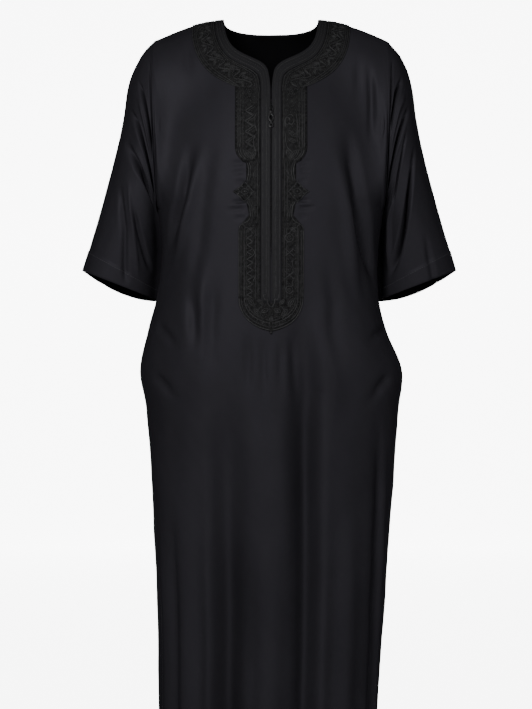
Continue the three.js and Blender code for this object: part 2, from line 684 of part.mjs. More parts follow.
// ---- zip ----
function buildTape(name, hand) {
  const low = -CLOTH - LAY_GAP - ZIP_TAPE.thick;
  const strip = new THREE.Shape();
  const near = hand * (SLIT.half - ZIP_TAPE.overlap);
  const far = hand * ZIP_TAPE.half;
  strip.moveTo(near, ZIP_TAPE.top);
  strip.lineTo(far, ZIP_TAPE.top);
  strip.lineTo(far, ZIP_TAPE.end);
  strip.lineTo(near, ZIP_TAPE.end);
  const tape = panelShell(FRONT, low, low + ZIP_TAPE.thick).intersect(cutter(strip, FRONT));
  return named(name, tape, FINISHES.tape);
}

// Local axes on the slit at the slider: X, up the cloth, and out of it.
function sliderFrame() {
  const below = panelPoint(FRONT, 0, 1 + SLIDER_ROW / YOKE_ROWS);
  const above = panelPoint(FRONT, 0, 1 + (SLIDER_ROW + 1) / YOKE_ROWS);
  const right = new THREE.Vector3(1, 0, 0);
  const along = above.clone().sub(below).normalize();
  const out = right.clone().cross(along);
  return new THREE.Matrix4().makeBasis(right, along, out).setPosition(below.lerp(above, 0.5));
}

function block(halfX, low, high, depthLow, depthHigh) {
  const box = new THREE.BoxGeometry(2 * halfX, high - low, depthHigh - depthLow);
  box.translate(0, (low + high) / 2, (depthLow + depthHigh) / 2);
  return solidOf(box);
}

function ringAlongX(rim, hole, half) {
  const shape = new THREE.Shape();
  shape.absarc(0, 0, rim, 0, 2 * Math.PI);
  shape.holes.push(new THREE.Path().absarc(0, 0, hole, 0, 2 * Math.PI, true));
  const options = { depth: 2 * half, bevelEnabled: false, curveSegments: 10 };
  const geometry = new THREE.ExtrudeGeometry(shape, options);
  geometry.translate(0, 0, -half);
  geometry.rotateY(Math.PI / 2);
  return geometry;
}

function buildSlider(frame) {
  const s = SLIDER;
  const backFace = -CLOTH - LAY_GAP - ZIP_TAPE.thick - LAY_GAP;
  const plate = block(s.half, -s.tall / 2, s.tall / 2, PLATE_OUT, PLATE_OUT + s.plate);
  const stem = block(s.stem, -s.tall / 2 + 1, s.tall / 2 - 1, backFace - 0.5, PLATE_OUT + 0.5);
  const heel = block(s.half - s.stem, -s.tall / 2, s.tall / 2, backFace - s.heel, backFace);
  const ring = ringAlongX(LOOP.rim, LOOP.hole, LOOP.half);
  ring.translate(0, 0, HINGE_OUT);
  const loop = solidOf(ring).subtract(block(s.tall, -s.tall, s.tall, -s.tall, PLATE_OUT + LAY_GAP));
  const solid = plate.add(stem).add(heel).add(loop);
  return named("zip_slider", solid.transform(frame.toArray()), FINISHES.metal);
}

// An openwork pull: a bar through the slider's loop, two arms, a pierced drop and a bead.
function buildPull(frame) {
  const outline = new THREE.Shape(mirrored(PULL_EDGE, CURVE_STEPS));
  for (const hole of [PULL_EYE, PULL_LOZENGE]) {
    outline.holes.push(new THREE.Path(mirrored(hole, CURVE_STEPS).reverse()));
  }
  outline.holes.push(new THREE.Path().absarc(0, PULL_RING.y, PULL_RING.hole, 0, 2 * Math.PI, false));
  const options = { depth: PULL_THICK, bevelEnabled: false, curveSegments: CURVE_STEPS };
  const plate = new THREE.ExtrudeGeometry(outline, options);
  plate.translate(0, 0, HINGE_OUT - PULL_THICK / 2);
  return named("zip_pull", solidOf(plate).transform(frame.toArray()), FINISHES.metal);
}

function buildGandoura() {
  const garment = new THREE.Group();
  const frame = sliderFrame();
  garment.add(buildFront(), buildBack());
  garment.add(buildSleeve("sleeve_right", RIGHT_HAND), buildSleeve("sleeve_left", LEFT_HAND));
  garment.add(buildPocket("pocket_right", RIGHT_HAND), buildPocket("pocket_left", LEFT_HAND));
  garment.add(...buildEdging(), ...buildEmbroidery());
  garment.add(buildTape("zip_tape_right", RIGHT_HAND), buildTape("zip_tape_left", LEFT_HAND));
  garment.add(buildSlider(frame), buildPull(frame));
  return garment;
}

export default buildGandoura();
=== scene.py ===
"""A long black gandoura, hung as it is worn: satin cloth, an embroidered breast and a zip."""
import logging
import math
from dataclasses import dataclass, field
from enum import Enum
from functools import cache
from itertools import pairwise
from typing import Callable, ClassVar, Sequence

import bpy
import numpy as np
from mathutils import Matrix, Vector
from mathutils.geometry import delaunay_2d_cdt


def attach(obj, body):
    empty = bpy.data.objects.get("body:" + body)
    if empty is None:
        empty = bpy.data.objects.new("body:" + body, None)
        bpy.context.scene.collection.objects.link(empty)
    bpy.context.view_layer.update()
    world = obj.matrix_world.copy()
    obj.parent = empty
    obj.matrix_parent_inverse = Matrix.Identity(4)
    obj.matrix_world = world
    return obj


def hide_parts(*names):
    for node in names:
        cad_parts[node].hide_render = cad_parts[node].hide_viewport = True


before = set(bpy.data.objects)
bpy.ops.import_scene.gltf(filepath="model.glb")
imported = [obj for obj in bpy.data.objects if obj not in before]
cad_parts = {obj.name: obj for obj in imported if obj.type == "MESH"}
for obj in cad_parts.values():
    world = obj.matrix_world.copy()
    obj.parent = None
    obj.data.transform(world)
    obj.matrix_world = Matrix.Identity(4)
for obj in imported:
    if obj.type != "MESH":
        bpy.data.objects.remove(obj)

log = logging.getLogger("gandoura")

Array = np.ndarray
Piece = bpy.types.Object
Socket = bpy.types.NodeSocket
Spot = tuple[float, float]
Colour = tuple[float, float, float]
Draw = Callable[[Sequence[Spot] | Array], Array]
Lift = Callable[[Array, Array | float], tuple[Array, Array]]

MM = 0.001  # all sizes below are in millimetres
QUARTER = math.pi / 2


class Side(Enum):
    """The panel a point lies on, as the sign of Y."""

    FRONT = -1
    BACK = 1


class Hand(Enum):
    """The wearer's hand, as the sign of X."""

    RIGHT = -1
    LEFT = 1

    @property
    def word(self) -> str:
        """The hand's name in a piece's name."""
        return self.name.lower()


# ---- small sums ----


def mix(a: Array | float, b: Array | float, share: Array | float) -> Array | float:
    """A value part of the way from a to b."""
    return a + (b - a) * share


def smooth(value: Array | float, low: float, high: float) -> Array:
    """0 below low and 1 above high, with a soft slope between."""
    t = np.clip((np.asarray(value, float) - low) / (high - low), 0, 1)
    return t * t * (3 - 2 * t)


def bent(value: Array, power: Array | float) -> Array:
    """A power that keeps the value's sign."""
    return np.sign(value) * np.abs(value) ** power


def unit(vectors: Array) -> Array:
    """Vectors at length 1."""
    return vectors / np.maximum(np.linalg.norm(vectors, axis=-1, keepdims=True), 1e-12)


def pair(x: Array | float, y: Array | float) -> Array:
    """Spots from two columns, either of which may be one number."""
    return np.stack(np.broadcast_arrays(x, y), axis=-1)


def bezier(ends: Sequence[Spot], count: int, start: float = 0.0) -> Array:
    """Points along a cubic curve.

    Args:
        ends: Its first point, two that it bends towards, and its last point.
        count: How many points.
        start: The share of the curve that is left out at its start.

    Returns:
        The points, one a row.
    """
    a, b, c, d = (np.array(p, float) for p in ends)
    t = np.linspace(start, 1, count)[:, None]
    return (1 - t) ** 3 * a + 3 * (1 - t) ** 2 * t * b + 3 * (1 - t) * t * t * c + t**3 * d


def resample(path: Array, step: float) -> Array:
    """Points at an even distance along a path.

    Args:
        path: The path's points, one a row.
        step: The longest distance between two of the new points.

    Returns:
        The new points, with both ends kept.
    """
    path = np.asarray(path, float)
    lengths = np.r_[0, np.cumsum(np.linalg.norm(np.diff(path, axis=0), axis=1))]
    count = max(2, int(math.ceil(lengths[-1] / step)) + 1)
    at = np.linspace(0, lengths[-1], count)
    return np.stack([np.interp(at, lengths, column) for column in path.T], axis=1)


class Table:
    """Sizes in columns along a key, joined by a smooth curve through the rows."""

    def __init__(self, rows: Sequence[Sequence[float]]) -> None:
        """Keeps the rows with the key, which is their first column, rising."""
        table = np.array(rows, float)
        self.rows = table if table[0, 0] < table[-1, 0] else table[::-1]

    def at(self, key: Array) -> Array:
        """The columns at places along the key.

        Args:
            key: The places.

        Returns:
            An array with one layer for each column after the key.
        """
        rows, last = self.rows, len(self.rows) - 1
        key = np.asarray(key, float)
        i = np.clip(np.searchsorted(rows[:, 0], key, side="right") - 1, 0, last - 1)
        a, b = rows[i], rows[i + 1]
        before, after = rows[np.maximum(i - 1, 0)], rows[np.minimum(i + 2, last)]
        span = (b - a)[..., :1]
        t = np.clip((key[..., None] - a[..., :1]) / span, 0, 1)
        slope_a = (b - before) / (b - before)[..., :1] * span
        slope_b = (after - a) / (after - a)[..., :1] * span
        value = (
            (2 * t**3 - 3 * t**2 + 1) * a
            + (t**3 - 2 * t**2 + t) * slope_a
            + (3 * t**2 - 2 * t**3) * b
            + (t**3 - t**2) * slope_b
        )
        return np.moveaxis(value[..., 1:], -1, 0)


# ---- folds ----


@dataclass(frozen=True)
class Fold:
    """One crease of the cloth, along a line on its flat chart."""

    path: tuple[Spot, ...]
    wide: float
    depth: float  # a trough's is below 0
    grow: float = 0.3  # the share of its length over which it deepens
    fade: float = 0.3  # and over which it dies away again, 0 where it runs out at a hem
    lean: float = 0.0  # how much steeper one flank is
    swell: ClassVar[float] = 0.45  # how far the cloth bulges the other way beside the crease
    spread: ClassVar[float] = 0.9  # how soon that dies away

    def push(self, across: Array, down: Array, turn: float) -> Array:
        """How far the fold moves the cloth outwards.

        Args:
            across: Places across the chart.
            down: Places down the chart.
            turn: The distance across after which the chart meets itself.

        Returns:
            The push at each place.
        """
        line = np.array(self.path, float)
        middle = line[:, 0].mean()
        across = across - turn * np.round((across - middle) / turn)
        lengths = np.linalg.norm(np.diff(line, axis=0), axis=1)
        total, done = lengths.sum(), 0.0
        nearest = np.full(across.shape, np.inf)
        away, way = np.zeros(across.shape), np.zeros(across.shape)
        for (a, b), long in zip(pairwise(line), lengths):
            d = (b - a) / long
            dx, dy = across - a[0], down - a[1]
            t = np.clip(dx * d[0] + dy * d[1], 0, long)
            gap = np.hypot(dx - t * d[0], dy - t * d[1])
            closer = gap < nearest
            nearest = np.where(closer, gap, nearest)
            away = np.where(closer, gap * np.sign(dx * d[1] - dy * d[0]), away)
            way = np.where(closer, (done + t) / total, way)
            done += long
        q = away / self.wide * (1 + self.lean * np.tanh(away / self.wide))
        shape = (1 - self.swell * q * q) * np.exp(-self.spread * q * q)
        ends = smooth(way, 0, self.grow)
        if self.fade > 0:
            ends = ends * (1 - smooth(way, 1 - self.fade, 1))
        return self.depth * ends * shape


def ripple(across: Array, down: Array, size: float) -> Array:
    """Slight unevenness of hanging cloth.

    Args:
        across: Places across the chart.
        down: Places down the chart.
        size: The height of its largest waves.

    Returns:
        The push at each place.
    """
    bend = 18 * np.sin(down / 131 + 0.7) + 11 * np.sin(across / 83 + 2.1)
    wave = 0.5 * np.sin((across + bend) / 21 + 1.3) * np.sin(down / 140 + 0.4)
    wave += 0.3 * np.sin((across * 0.8 + down * 0.35 + bend) / 15 + 2.2)
    wave += 0.2 * np.sin((across * 0.5 - down * 0.55 - bend) / 11 + 0.9)
    wave += 0.12 * np.sin((across + 0.4 * down) / 6.1) * np.sin(down / 17 + across / 39)
    return size * wave


# ---- surfaces ----


def raised(points: Array, normals: Array, height: Array | float) -> tuple[Array, Array]:
    """Points moved off a surface by a height, with the normals there."""
    return points + normals * np.asarray(height, float)[..., None], normals


@dataclass
class BodyCloth:
    """The hanging surface of the front and back panels, folds and all."""

    neck_x: float = 86.0
    end_x: float = 213.0
    drop: float = 39.0
    underarm_x: float = 206.0
    underarm_z: float = -345.0
    hem_z: float = -1420.0
    seam_y: float = 8.0
    square: float = 2.4
    yoke_long: float = 390.0  # down the cloth from the shoulder seam to the underarm
    reach: float = 14.0
    side_s: float = 280.0  # round the cloth from the middle to the side seam
    pocket: tuple[float, float, float] = (-514.0, -676.0, 23.0)  # top, bottom, half open
    uneven: float = 1.5  # the height of its ripple
    worked: tuple[float, float] = (-265.0, 330.0)  # middle and half length of the stiff breast
    breast: tuple[float, float, float] = (140.0, 2.2, 78.0)  # depth, roundness, depth at the arm
    nape: tuple[float, float, float] = (128.0, 3.0, 82.0)  # and behind
    # z, mid, half width, depth in front, depth behind, squareness
    sections: Table = field(
        default_factory=lambda: Table(
            [
                (-345, 0, 206, 140, 128, 2.4),
                (-420, -1, 197, 139, 126, 2.4),
                (-500, -6, 201, 138, 125, 2.4),
                (-564, -7, 217, 138, 128, 2.4),
                (-637, 0, 239, 138, 133, 2.3),
                (-710, 3, 229, 137, 136, 2.3),
                (-892, 2, 217, 134, 138, 2.3),
                (-1110, -1, 205, 133, 139, 2.3),
                (-1252, -5, 200, 134, 141, 2.3),
                (-1420, -6, 198, 136, 143, 2.3),
            ]
        )
    )
    folds: list[Fold] = field(default_factory=list)

    def __post_init__(self) -> None:
        """Measures the cloth's way round one section and down the breast, for its flat chart."""
        turn = np.linspace(0, QUARTER, 400)
        x, y = 207 * np.sin(turn) ** (2 / 2.4), 137 * np.cos(turn) ** (2 / 2.4)
        self.turns = turn / QUARTER
        self.round = np.r_[0, np.cumsum(np.hypot(np.diff(x), np.diff(y)))]
        self.round *= self.side_s / self.round[-1]
        fall = np.linspace(0, 1, 400)
        y = 134 * (1 - (1 - fall) ** 2.5) ** (1 / 1.7)
        way = np.r_[0, np.cumsum(np.hypot(np.diff(y), np.diff(fall) * -self.underarm_z))]
        self.falls, self.ways = fall, way[-1] - way
        self.skirt_long = self.underarm_z - self.hem_z

    def seam_height(self, x: Array) -> Array:
        """The height of the shoulder seam."""
        out = np.maximum(0, np.abs(x) - self.neck_x) / (self.end_x - self.neck_x)
        return -self.drop * out**1.6

    def pocket_turn(self, z: Array, square: Array) -> Array:
        """How far a panel's edge stands back from the side at a pocket's mouth.

        Args:
            z: Heights.
            square: The section's squareness there.

        Returns:
            The turns.
        """
        top, bottom, open_half = self.pocket
        along = np.clip((z - bottom) / (top - bottom), 0, 1)
        wide = open_half * np.sin(math.pi * along) ** 0.7
        return np.arcsin((wide / 140) ** (square / 2))

    def base(self, side: Side, across: Array, up: Array) -> Array:
        """The surface before its folds.

        Args:
            side: The panel.
            across: From -1 to 1, side seam to side seam.
            up: 0 at the hem, 1 at the underarm and 2 at the shoulder seam.

        Returns:
            The points.
        """
        across, up = np.broadcast_arrays(np.asarray(across, float), np.asarray(up, float))
        z = mix(self.hem_z, self.underarm_z, np.minimum(up, 1))
        mid, half, front, back, square = self.sections.at(z)
        turn = across * (QUARTER - self.pocket_turn(z, square))
        depth = front if side is Side.FRONT else back
        x_low = mid + half * bent(np.sin(turn), 2 / square)
        y_low = depth * bent(np.cos(turn), 2 / square)

        rise = np.clip(up - 1, 0, 1)
        long, power, edge = self.breast if side is Side.FRONT else self.nape
        fall = (1 + np.cos(math.pi * rise)) / 2
        share = bent(np.sin(across * QUARTER), 2 / self.square)
        x_high = mix(self.end_x, self.underarm_x, fall) * share
        middle = long * (1 - (1 - fall) ** power) ** (1 / 1.7)
        low = smooth(fall, 0.05, 0.95)
        out = np.abs(share)
        bowed = np.maximum(0, 1 - out**self.square) ** mix(1, 1 / self.square, low)
        slow = mix(1, smooth(rise, 0, 0.25), np.clip((1 - out) / 0.04, 0, 1))
        hole = edge * np.sin(math.pi * rise) * slow * out ** mix(self.square, self.reach, low)
        z_high = mix(self.seam_height(x_high), self.underarm_z, fall)

        yoke = up > 1
        x = np.where(yoke, x_high, x_low)
        y = self.seam_y + side.value * np.where(yoke, middle * bowed + hole, y_low)
        return np.stack([x, y, np.where(yoke, z_high, z)], axis=-1)

    def normal(self, side: Side, across: Array, up: Array, folded: bool) -> Array:
        """Unit normals out of the garment.

        Args:
            side: The panel.
            across: As for base.
            up: As for base.
            folded: Whether the folds count.

        Returns:
            The normals.
        """
        a, b = np.clip(across, -0.985, 0.985), np.clip(up, 0.002, 1.985)
        place = self.point if folded else self.base
        da = place(side, a + 1e-3, b) - place(side, a - 1e-3, b)
        db = place(side, a, b + 1e-3) - place(side, a, b - 1e-3)
        normal = unit(np.cross(da, db))
        here = self.base(side, a, b)
        here[..., 1] -= self.seam_y
        here[..., 2] = np.maximum(0, here[..., 2] + 200)
        out = np.sum(normal * here, axis=-1, keepdims=True)
        return normal * np.where(out < 0, -1, 1)

    def chart(self, side: Side, across: Array, up: Array) -> tuple[Array, Array]:
        """Where places lie on the flat chart.

        Args:
            side: The panel.
            across: As for base.
            up: As for base.

        Returns:
            The ways round the garment, and the ways down the cloth.
        """
        s = np.interp(np.abs(across), self.turns, self.round)
        if side is Side.BACK:
            s = 2 * self.side_s - s
        fall = (1 + np.cos(math.pi * np.clip(up - 1, 0, 1))) / 2
        rise = np.interp(fall, self.falls, self.ways) - self.yoke_long
        return np.where(across < 0, -s, s), np.where(up > 1, rise, self.down_of(up))

    def push(self, side: Side, across: Array, up: Array) -> Array:
        """How far the folds move the cloth outwards.

        Args:
            side: The panel.
            across: As for base.
            up: As for base.

        Returns:
            The push at each place.
        """
        s, down = self.chart(side, across, up)
        total = sum(fold.push(s, down, 4 * self.side_s) for fold in self.folds)
        mid, half = self.worked
        loose = smooth(np.abs(down - mid) - half, -40, 40) if side is Side.FRONT else 1
        loose = np.maximum(loose, smooth(np.abs(s), 70, 120))
        total = total + ripple(s, down, self.uneven) * loose
        edge = 1 - np.abs(across)
        sewn = mix(1, smooth(edge, 0, 0.06), smooth(up, 0.96, 1.06))
        top, bottom, _ = self.pocket
        away = np.abs(self.down_of(up) + 45 - (top + bottom) / 2) - (top - bottom) / 2
        sewn = sewn * mix(1, smooth(edge, 0, 0.08), smooth(-away, -30, 0))
        return total * sewn * smooth(2 - up, 0, 0.05)

    def point(self, side: Side, across: Array, up: Array) -> Array:
        """The folded surface."""
        push = self.push(side, across, up)[..., None]
        return self.base(side, across, up) + push * self.normal(side, across, up, False)

    def down_of(self, up: Array) -> Array:
        """The way down the cloth from the shoulder seam, for places up a panel."""
        z = mix(self.hem_z, self.underarm_z, up)
        return np.where(up > 1, (up - 2) * self.yoke_long, z - self.underarm_z - self.yoke_long)

    def up_of(self, down: Array) -> Array:
        """The places up a panel, for ways down the cloth."""
        low = (down + self.yoke_long + self.underarm_z - self.hem_z) / self.skirt_long
        return np.where(down > -self.yoke_long, 2 + down / self.yoke_long, low)

    def down_at(self, x: Array, z: Array) -> Array:
        """The way down the cloth to places that are seen square on.

        Args:
            x: Their distances from the middle plane.
            z: Their heights.

        Returns:
            The ways down.
        """
        top = self.seam_height(x)
        fall = np.clip((top - z) / (top - self.underarm_z), 0, 1)
        rise = np.arccos(2 * fall - 1) / math.pi
        low = z - self.underarm_z - self.yoke_long
        return np.where(z < self.underarm_z, low, (rise - 1) * self.yoke_long)

    def across_at(self, x: Array, down: Array) -> Array:
        """The places across a panel, from -1 to 1.

        Args:
            x: Their distances from the middle plane.
            down: Their ways down the cloth.

        Returns:
            The places.
        """
        up = self.up_of(down)
        z = mix(self.hem_z, self.underarm_z, np.minimum(up, 1))
        mid, half, _, _, square = self.sections.at(z)
        fall = (1 + np.cos(math.pi * np.clip(up - 1, 0, 1))) / 2
        yoke = up > 1
        reach = np.where(yoke, mix(self.end_x, self.underarm_x, fall), half)
        mid = np.where(yoke, 0, mid)
        square = np.where(yoke, self.square, square)
        turn = np.arcsin(np.clip(np.abs(x - mid) / reach, 0, 1) ** (square / 2))
        full = np.where(yoke, QUARTER, QUARTER - self.pocket_turn(z, square))
        return np.clip(np.sign(x - mid) * turn / full, -1, 1)

    def seen(self, side: Side, spots: Sequence[Spot]) -> tuple[Spot, ...]:
        """A fold's line on the chart.

        Args:
            side: The panel.
            spots: The line as it is seen square on, as x and z.

        Returns:
            The line as places round and down the cloth.
        """
        x, z = np.array(spots, float).T
        down = self.down_at(x, np.maximum(z, self.hem_z))
        s, down = self.chart(side, self.across_at(x, down), self.up_of(down))
        s = np.unwrap(s, period=4 * self.side_s)
        return tuple(zip(s, down + np.minimum(z - self.hem_z, 0)))

    def lift(self, side: Side) -> Lift:
        """What lays spots (x, way down) on a panel at a height off it.

        Args:
            side: The panel.

        Returns:
            A function that gives the points, and the normals there.
        """

        def laid(spots: Array, height: Array | float) -> tuple[Array, Array]:
            """The points, and the normals there."""
            place = self.across_at(*np.moveaxis(spots, -1, 0)), self.up_of(spots[..., 1])
            return raised(self.point(side, *place), self.normal(side, *place, True), height)

        return laid

    def flat(self, spots: Sequence[Spot] | Array) -> Array:
        """Spots seen square on as spots on the cloth.

        Args:
            spots: The spots (x, z).

        Returns:
            The spots (x, way down).
        """
        x, z = np.asarray(spots, float).T
        z = np.minimum(z, self.seam_height(x) - 0.02)
        return np.stack([x, self.down_at(x, z)], axis=1)


@dataclass
class SleeveCloth:
    """The hanging surface of one sleeve."""

    hand: Hand
    swing: float
    clear: float
    folds: tuple[Fold, ...]
    degree: float = 1.75  # mm round the sleeve for a degree
    long: float = 430.0
    uneven: float = 1.2  # the height of its ripple
    # share of the way, outer fold x and z, underarm seam x and z, middle y, depths, hang, tuck
    rings: Table = field(
        default_factory=lambda: Table(
            [
                (0, 213, -39, 206, -345, 8, 78, 82, 0, 0),
                (1 / 6, 237, -68, 206, -358, 9, 77, 82, 0, 8),
                (2 / 6, 256, -114, 203, -374, 11, 75, 82, 2, 20),
                (3 / 6, 266, -184, 200, -395, 14, 73, 80, 5, 30),
                (4 / 6, 282, -258, 197, -422, 18, 71, 78, 8, 36),
                (5 / 6, 307, -352, 194, -461, 23, 67, 74, 11, 38),
                (1, 338, -456, 193, -511, 28, 62, 70, 14, 38),
            ]
        )
    )

    def base(self, turn: Array, along: Array) -> Array:
        """The sleeve before its folds.

        Args:
            turn: Degrees from the outer fold round the front.
            along: 0 at the armhole and 1 at the hem.

        Returns:
            The points.
        """
        out_x, out_z, in_x, in_z, mid, front, back, sag, tuck = self.rings.at(along)
        c, s = np.cos(np.radians(turn)), np.sin(np.radians(turn))
        inward = (1 - c) / 2
        x = mix(out_x + along * self.swing, in_x + along**2 * self.clear, inward)
        z = mix(out_z, in_z, inward) - np.minimum(0, s) ** 2 * sag
        y = mid - s * np.where(s > 0, front, back) + tuck * inward**3
        return np.stack([self.hand.value * x, y, z], axis=-1)

    def normal(self, turn: Array, along: Array, folded: bool) -> Array:
        """Unit normals out of the sleeve.

        Args:
            turn: As for base.
            along: As for base.
            folded: Whether the folds count.

        Returns:
            The normals.
        """
        b = np.clip(along, 0.004, 0.996)
        place = self.point if folded else self.base
        da = place(turn + 0.4, b) - place(turn - 0.4, b)
        db = place(turn, b + 2e-3) - place(turn, b - 2e-3)
        return unit(np.cross(da, db)) * self.hand.value

    def point(self, turn: Array, along: Array) -> Array:
        """The folded surface.

        Args:
            turn: As for base.
            along: As for base.

        Returns:
            The points.
        """
        s, down = turn * self.degree, along * self.long
        push = sum(fold.push(s, down, 360 * self.degree) for fold in self.folds)
        push = push + ripple(s + 40 * self.hand.value, down, self.uneven)
        push = push * smooth(along, 0, 0.05)
        return self.base(turn, along) + push[..., None] * self.normal(turn, along, False)

    def lift(self, spots: Array, height: Array | float) -> tuple[Array, Array]:
        """Lays spots (round, along) in mm on the sleeve at a height off it."""
        place = spots[..., 0] / self.degree, spots[..., 1] / self.long
        return raised(self.point(*place), self.normal(*place, True), height)


# ---- finishes ----


class Paint:
    """A material's nodes, filled by plain calls."""

    def __init__(self, name: str) -> None:
        """Starts a material on a principled shader.

        Args:
            name: Its name.
        """
        self.material = bpy.data.materials.new(name)
        self.material.use_nodes = True
        self.tree = self.material.node_tree
        self.shader = self.tree.nodes["Principled BSDF"]
        self.place = self.add("ShaderNodeTexCoord").outputs["Object"]

    def add(self, kind: str, **inputs: object) -> bpy.types.Node:
        """A new node.

        Args:
            kind: Its type.
            inputs: Values or sockets for its inputs, spaces as underscores.

        Returns:
            The node.
        """
        node = self.tree.nodes.new(kind)
        for name, value in inputs.items():
            self.feed(node.inputs[name.replace("_", " ")], value)
        return node

    def feed(self, socket: Socket, value: object) -> None:
        """Sets a socket, or links another to it.

        Args:
            socket: The socket.
            value: Its value, or the other socket.
        """
        if isinstance(value, Socket):
            self.tree.links.new(value, socket)
        else:
            socket.default_value = value

    def set(self, **inputs: object) -> None:
        """Sets the shader's own sockets."""
        for name, value in inputs.items():
            self.feed(self.shader.inputs[name.replace("_", " ")], value)

    def noise(self, scale: float, detail: float, stretch: Colour) -> Socket:
        """Uneven grey, stretched along some axes."""
        at = self.add("ShaderNodeMapping", Vector=self.place, Scale=stretch).outputs[0]
        return self.add("ShaderNodeTexNoise", Vector=at, Scale=scale, Detail=detail).outputs[0]

    def wave(self, scale: float, tilt: Colour, distort: float) -> Socket:
        """Parallel ribs, tilted and a little uneven.

        Args:
            scale: Ribs a metre, over two pi.
            tilt: How they are turned.
            distort: How uneven they are.

        Returns:
            The grey's socket.
        """
        at = self.add("ShaderNodeMapping", Vector=self.place, Rotation=tilt).outputs[0]
        node = self.add("ShaderNodeTexWave", Vector=at, Scale=scale, Distortion=distort)
        return node.outputs["Fac"]

    def blend(
        self, by: Socket, low: float, high: float, first: Colour, last: Colour
    ) -> Socket:
        """A colour between two, by a grey.

        Args:
            by: The grey.
            low: The grey at the first colour.
            high: The grey at the last colour.
            first: The first colour.
            last: The last colour.

        Returns:
            The colour's socket.
        """
        ramp = self.tree.nodes.new("ShaderNodeValToRGB")
        self.feed(ramp.inputs["Fac"], by)
        for stop, place, colour in zip(ramp.color_ramp.elements, (low, high), (first, last)):
            stop.position, stop.color = place, (*colour, 1)
        return ramp.outputs["Color"]

    def sum(self, a: Socket, b: Socket, share: float) -> Socket:
        """One grey with a share of another added.

        Args:
            a: The first grey.
            b: The other.
            share: The share.

        Returns:
            The sum's socket.
        """
        node = self.add("ShaderNodeMath")
        node.operation = "MULTIPLY_ADD"
        self.feed(node.inputs[0], b)
        node.inputs[1].default_value = share
        self.feed(node.inputs[2], a)
        return node.outputs[0]

    def bump(self, height: Socket, strength: float, distance: float) -> None:
        """Small relief from a grey.

        Args:
            height: The grey.
            strength: How strongly it counts.
            distance: The height that it stands for, in millimetres.
        """
        far = distance * MM
        bump = self.add("ShaderNodeBump", Height=height, Strength=strength, Distance=far)
        self.set(Normal=bump.outputs[0])


@dataclass(frozen=True)
class Cloth:
    """Woven black cloth: two shades of it, its roughness, even gloss and weave."""

    name: str
    dark: Colour
    light: Colour
    rough: tuple[float, float]
    gloss: float  # the share of light that satin threads throw back evenly, with no bright rim
    weave: float = 620.0  # ribs a metre, over two pi
    relief: float = 0.25

    def make(self) -> bpy.types.Material:
        """Makes the material.

        Returns:
            The material.
        """
        paint = Paint(self.name)
        patches = paint.noise(9, 3, (1, 1, 0.4))
        grain = paint.noise(420, 2, (1, 1, 0.25))
        tint = paint.blend(patches, 0.35, 0.65, self.dark, self.light)
        gloss = paint.blend(
            paint.sum(patches, grain, 0.25), 0.45, 0.8, (self.rough[0],) * 3, (self.rough[1],) * 3
        )
        paint.set(
            Base_Color=tint,
            Roughness=gloss,
            Metallic=self.gloss,
            Specular_IOR_Level=0.0,
            Specular_Tint=(0.02, 0.02, 0.02, 1),
        )
        ribs = paint.wave(self.weave, (0.0, 0.62, 0.3), 0.6)
        cross = paint.wave(self.weave * 0.7, (0.0, -0.9, 0.2), 0.8)
        paint.bump(paint.sum(paint.sum(ribs, cross, 0.6), grain, 1.2), self.relief, 0.12)
        return paint.material


@dataclass(frozen=True)
class Stitching:
    """Embroidery thread: strands side by side, slightly glossy."""

    name: str
    dark: Colour
    light: Colour
    rough: float
    gloss: float
    strand: float  # strands a metre, over two pi
    relief: float

    def make(self) -> bpy.types.Material:
        """Makes the material.

        Returns:
            The material.
        """
        paint = Paint(self.name)
        patches = paint.noise(160, 3, (1, 1, 1))
        strands = paint.wave(self.strand, (0.3, 0.5, 0.2), 3.0)
        others = paint.wave(self.strand * 0.8, (0.2, -0.7, 0.9), 4.0)
        both = paint.sum(strands, others, 0.7)
        paint.set(
            Base_Color=paint.blend(paint.sum(patches, both, 0.2), 0.4, 0.85, self.dark, self.light),
            Roughness=self.rough,
            Metallic=self.gloss,
            Specular_IOR_Level=0.0,
            Specular_Tint=(0.05, 0.05, 0.05, 1),
        )
        paint.bump(both, self.relief, 0.3)
        return paint.material


@dataclass(frozen=True)
class Enamel:
    """Black enamelled metal, a little worn and uneven."""

    name: str
    colour: Colour
    worn: Colour
    rough: float

    def make(self) -> bpy.types.Material:
        """Makes the material.

        Returns:
            The material.
        """
        paint = Paint(self.name)
        wear = paint.noise(700, 4, (1, 1, 1))
        paint.set(
            Base_Color=paint.blend(wear, 0.55, 0.75, self.colour, self.worn),
            Roughness=self.rough,
            Specular_IOR_Level=0.16,
        )
        paint.bump(paint.noise(900, 2, (1, 1, 1)), 0.15, 0.1)
        return paint.material


@dataclass(frozen=True)
class Paper:
    """The studio's pale floor and backdrop."""

    name: str
    colour: Colour
    glow: float  # how brightly it is lit from behind

    def make(self) -> bpy.types.Material:
        """Makes the material.

        Returns:
            The material.
        """
        paint = Paint(self.name)
        paint.set(Emission_Color=(1, 1, 1, 1), Emission_Strength=self.glow)
        tone = tuple(0.985 * c for c in self.colour)
        shade = paint.blend(paint.noise(3, 2, (1, 1, 1)), 0.4, 0.6, tone, self.colour)
        paint.set(Base_Color=shade, Roughness=0.95, Specular_IOR_Level=0.1)
        return paint.material


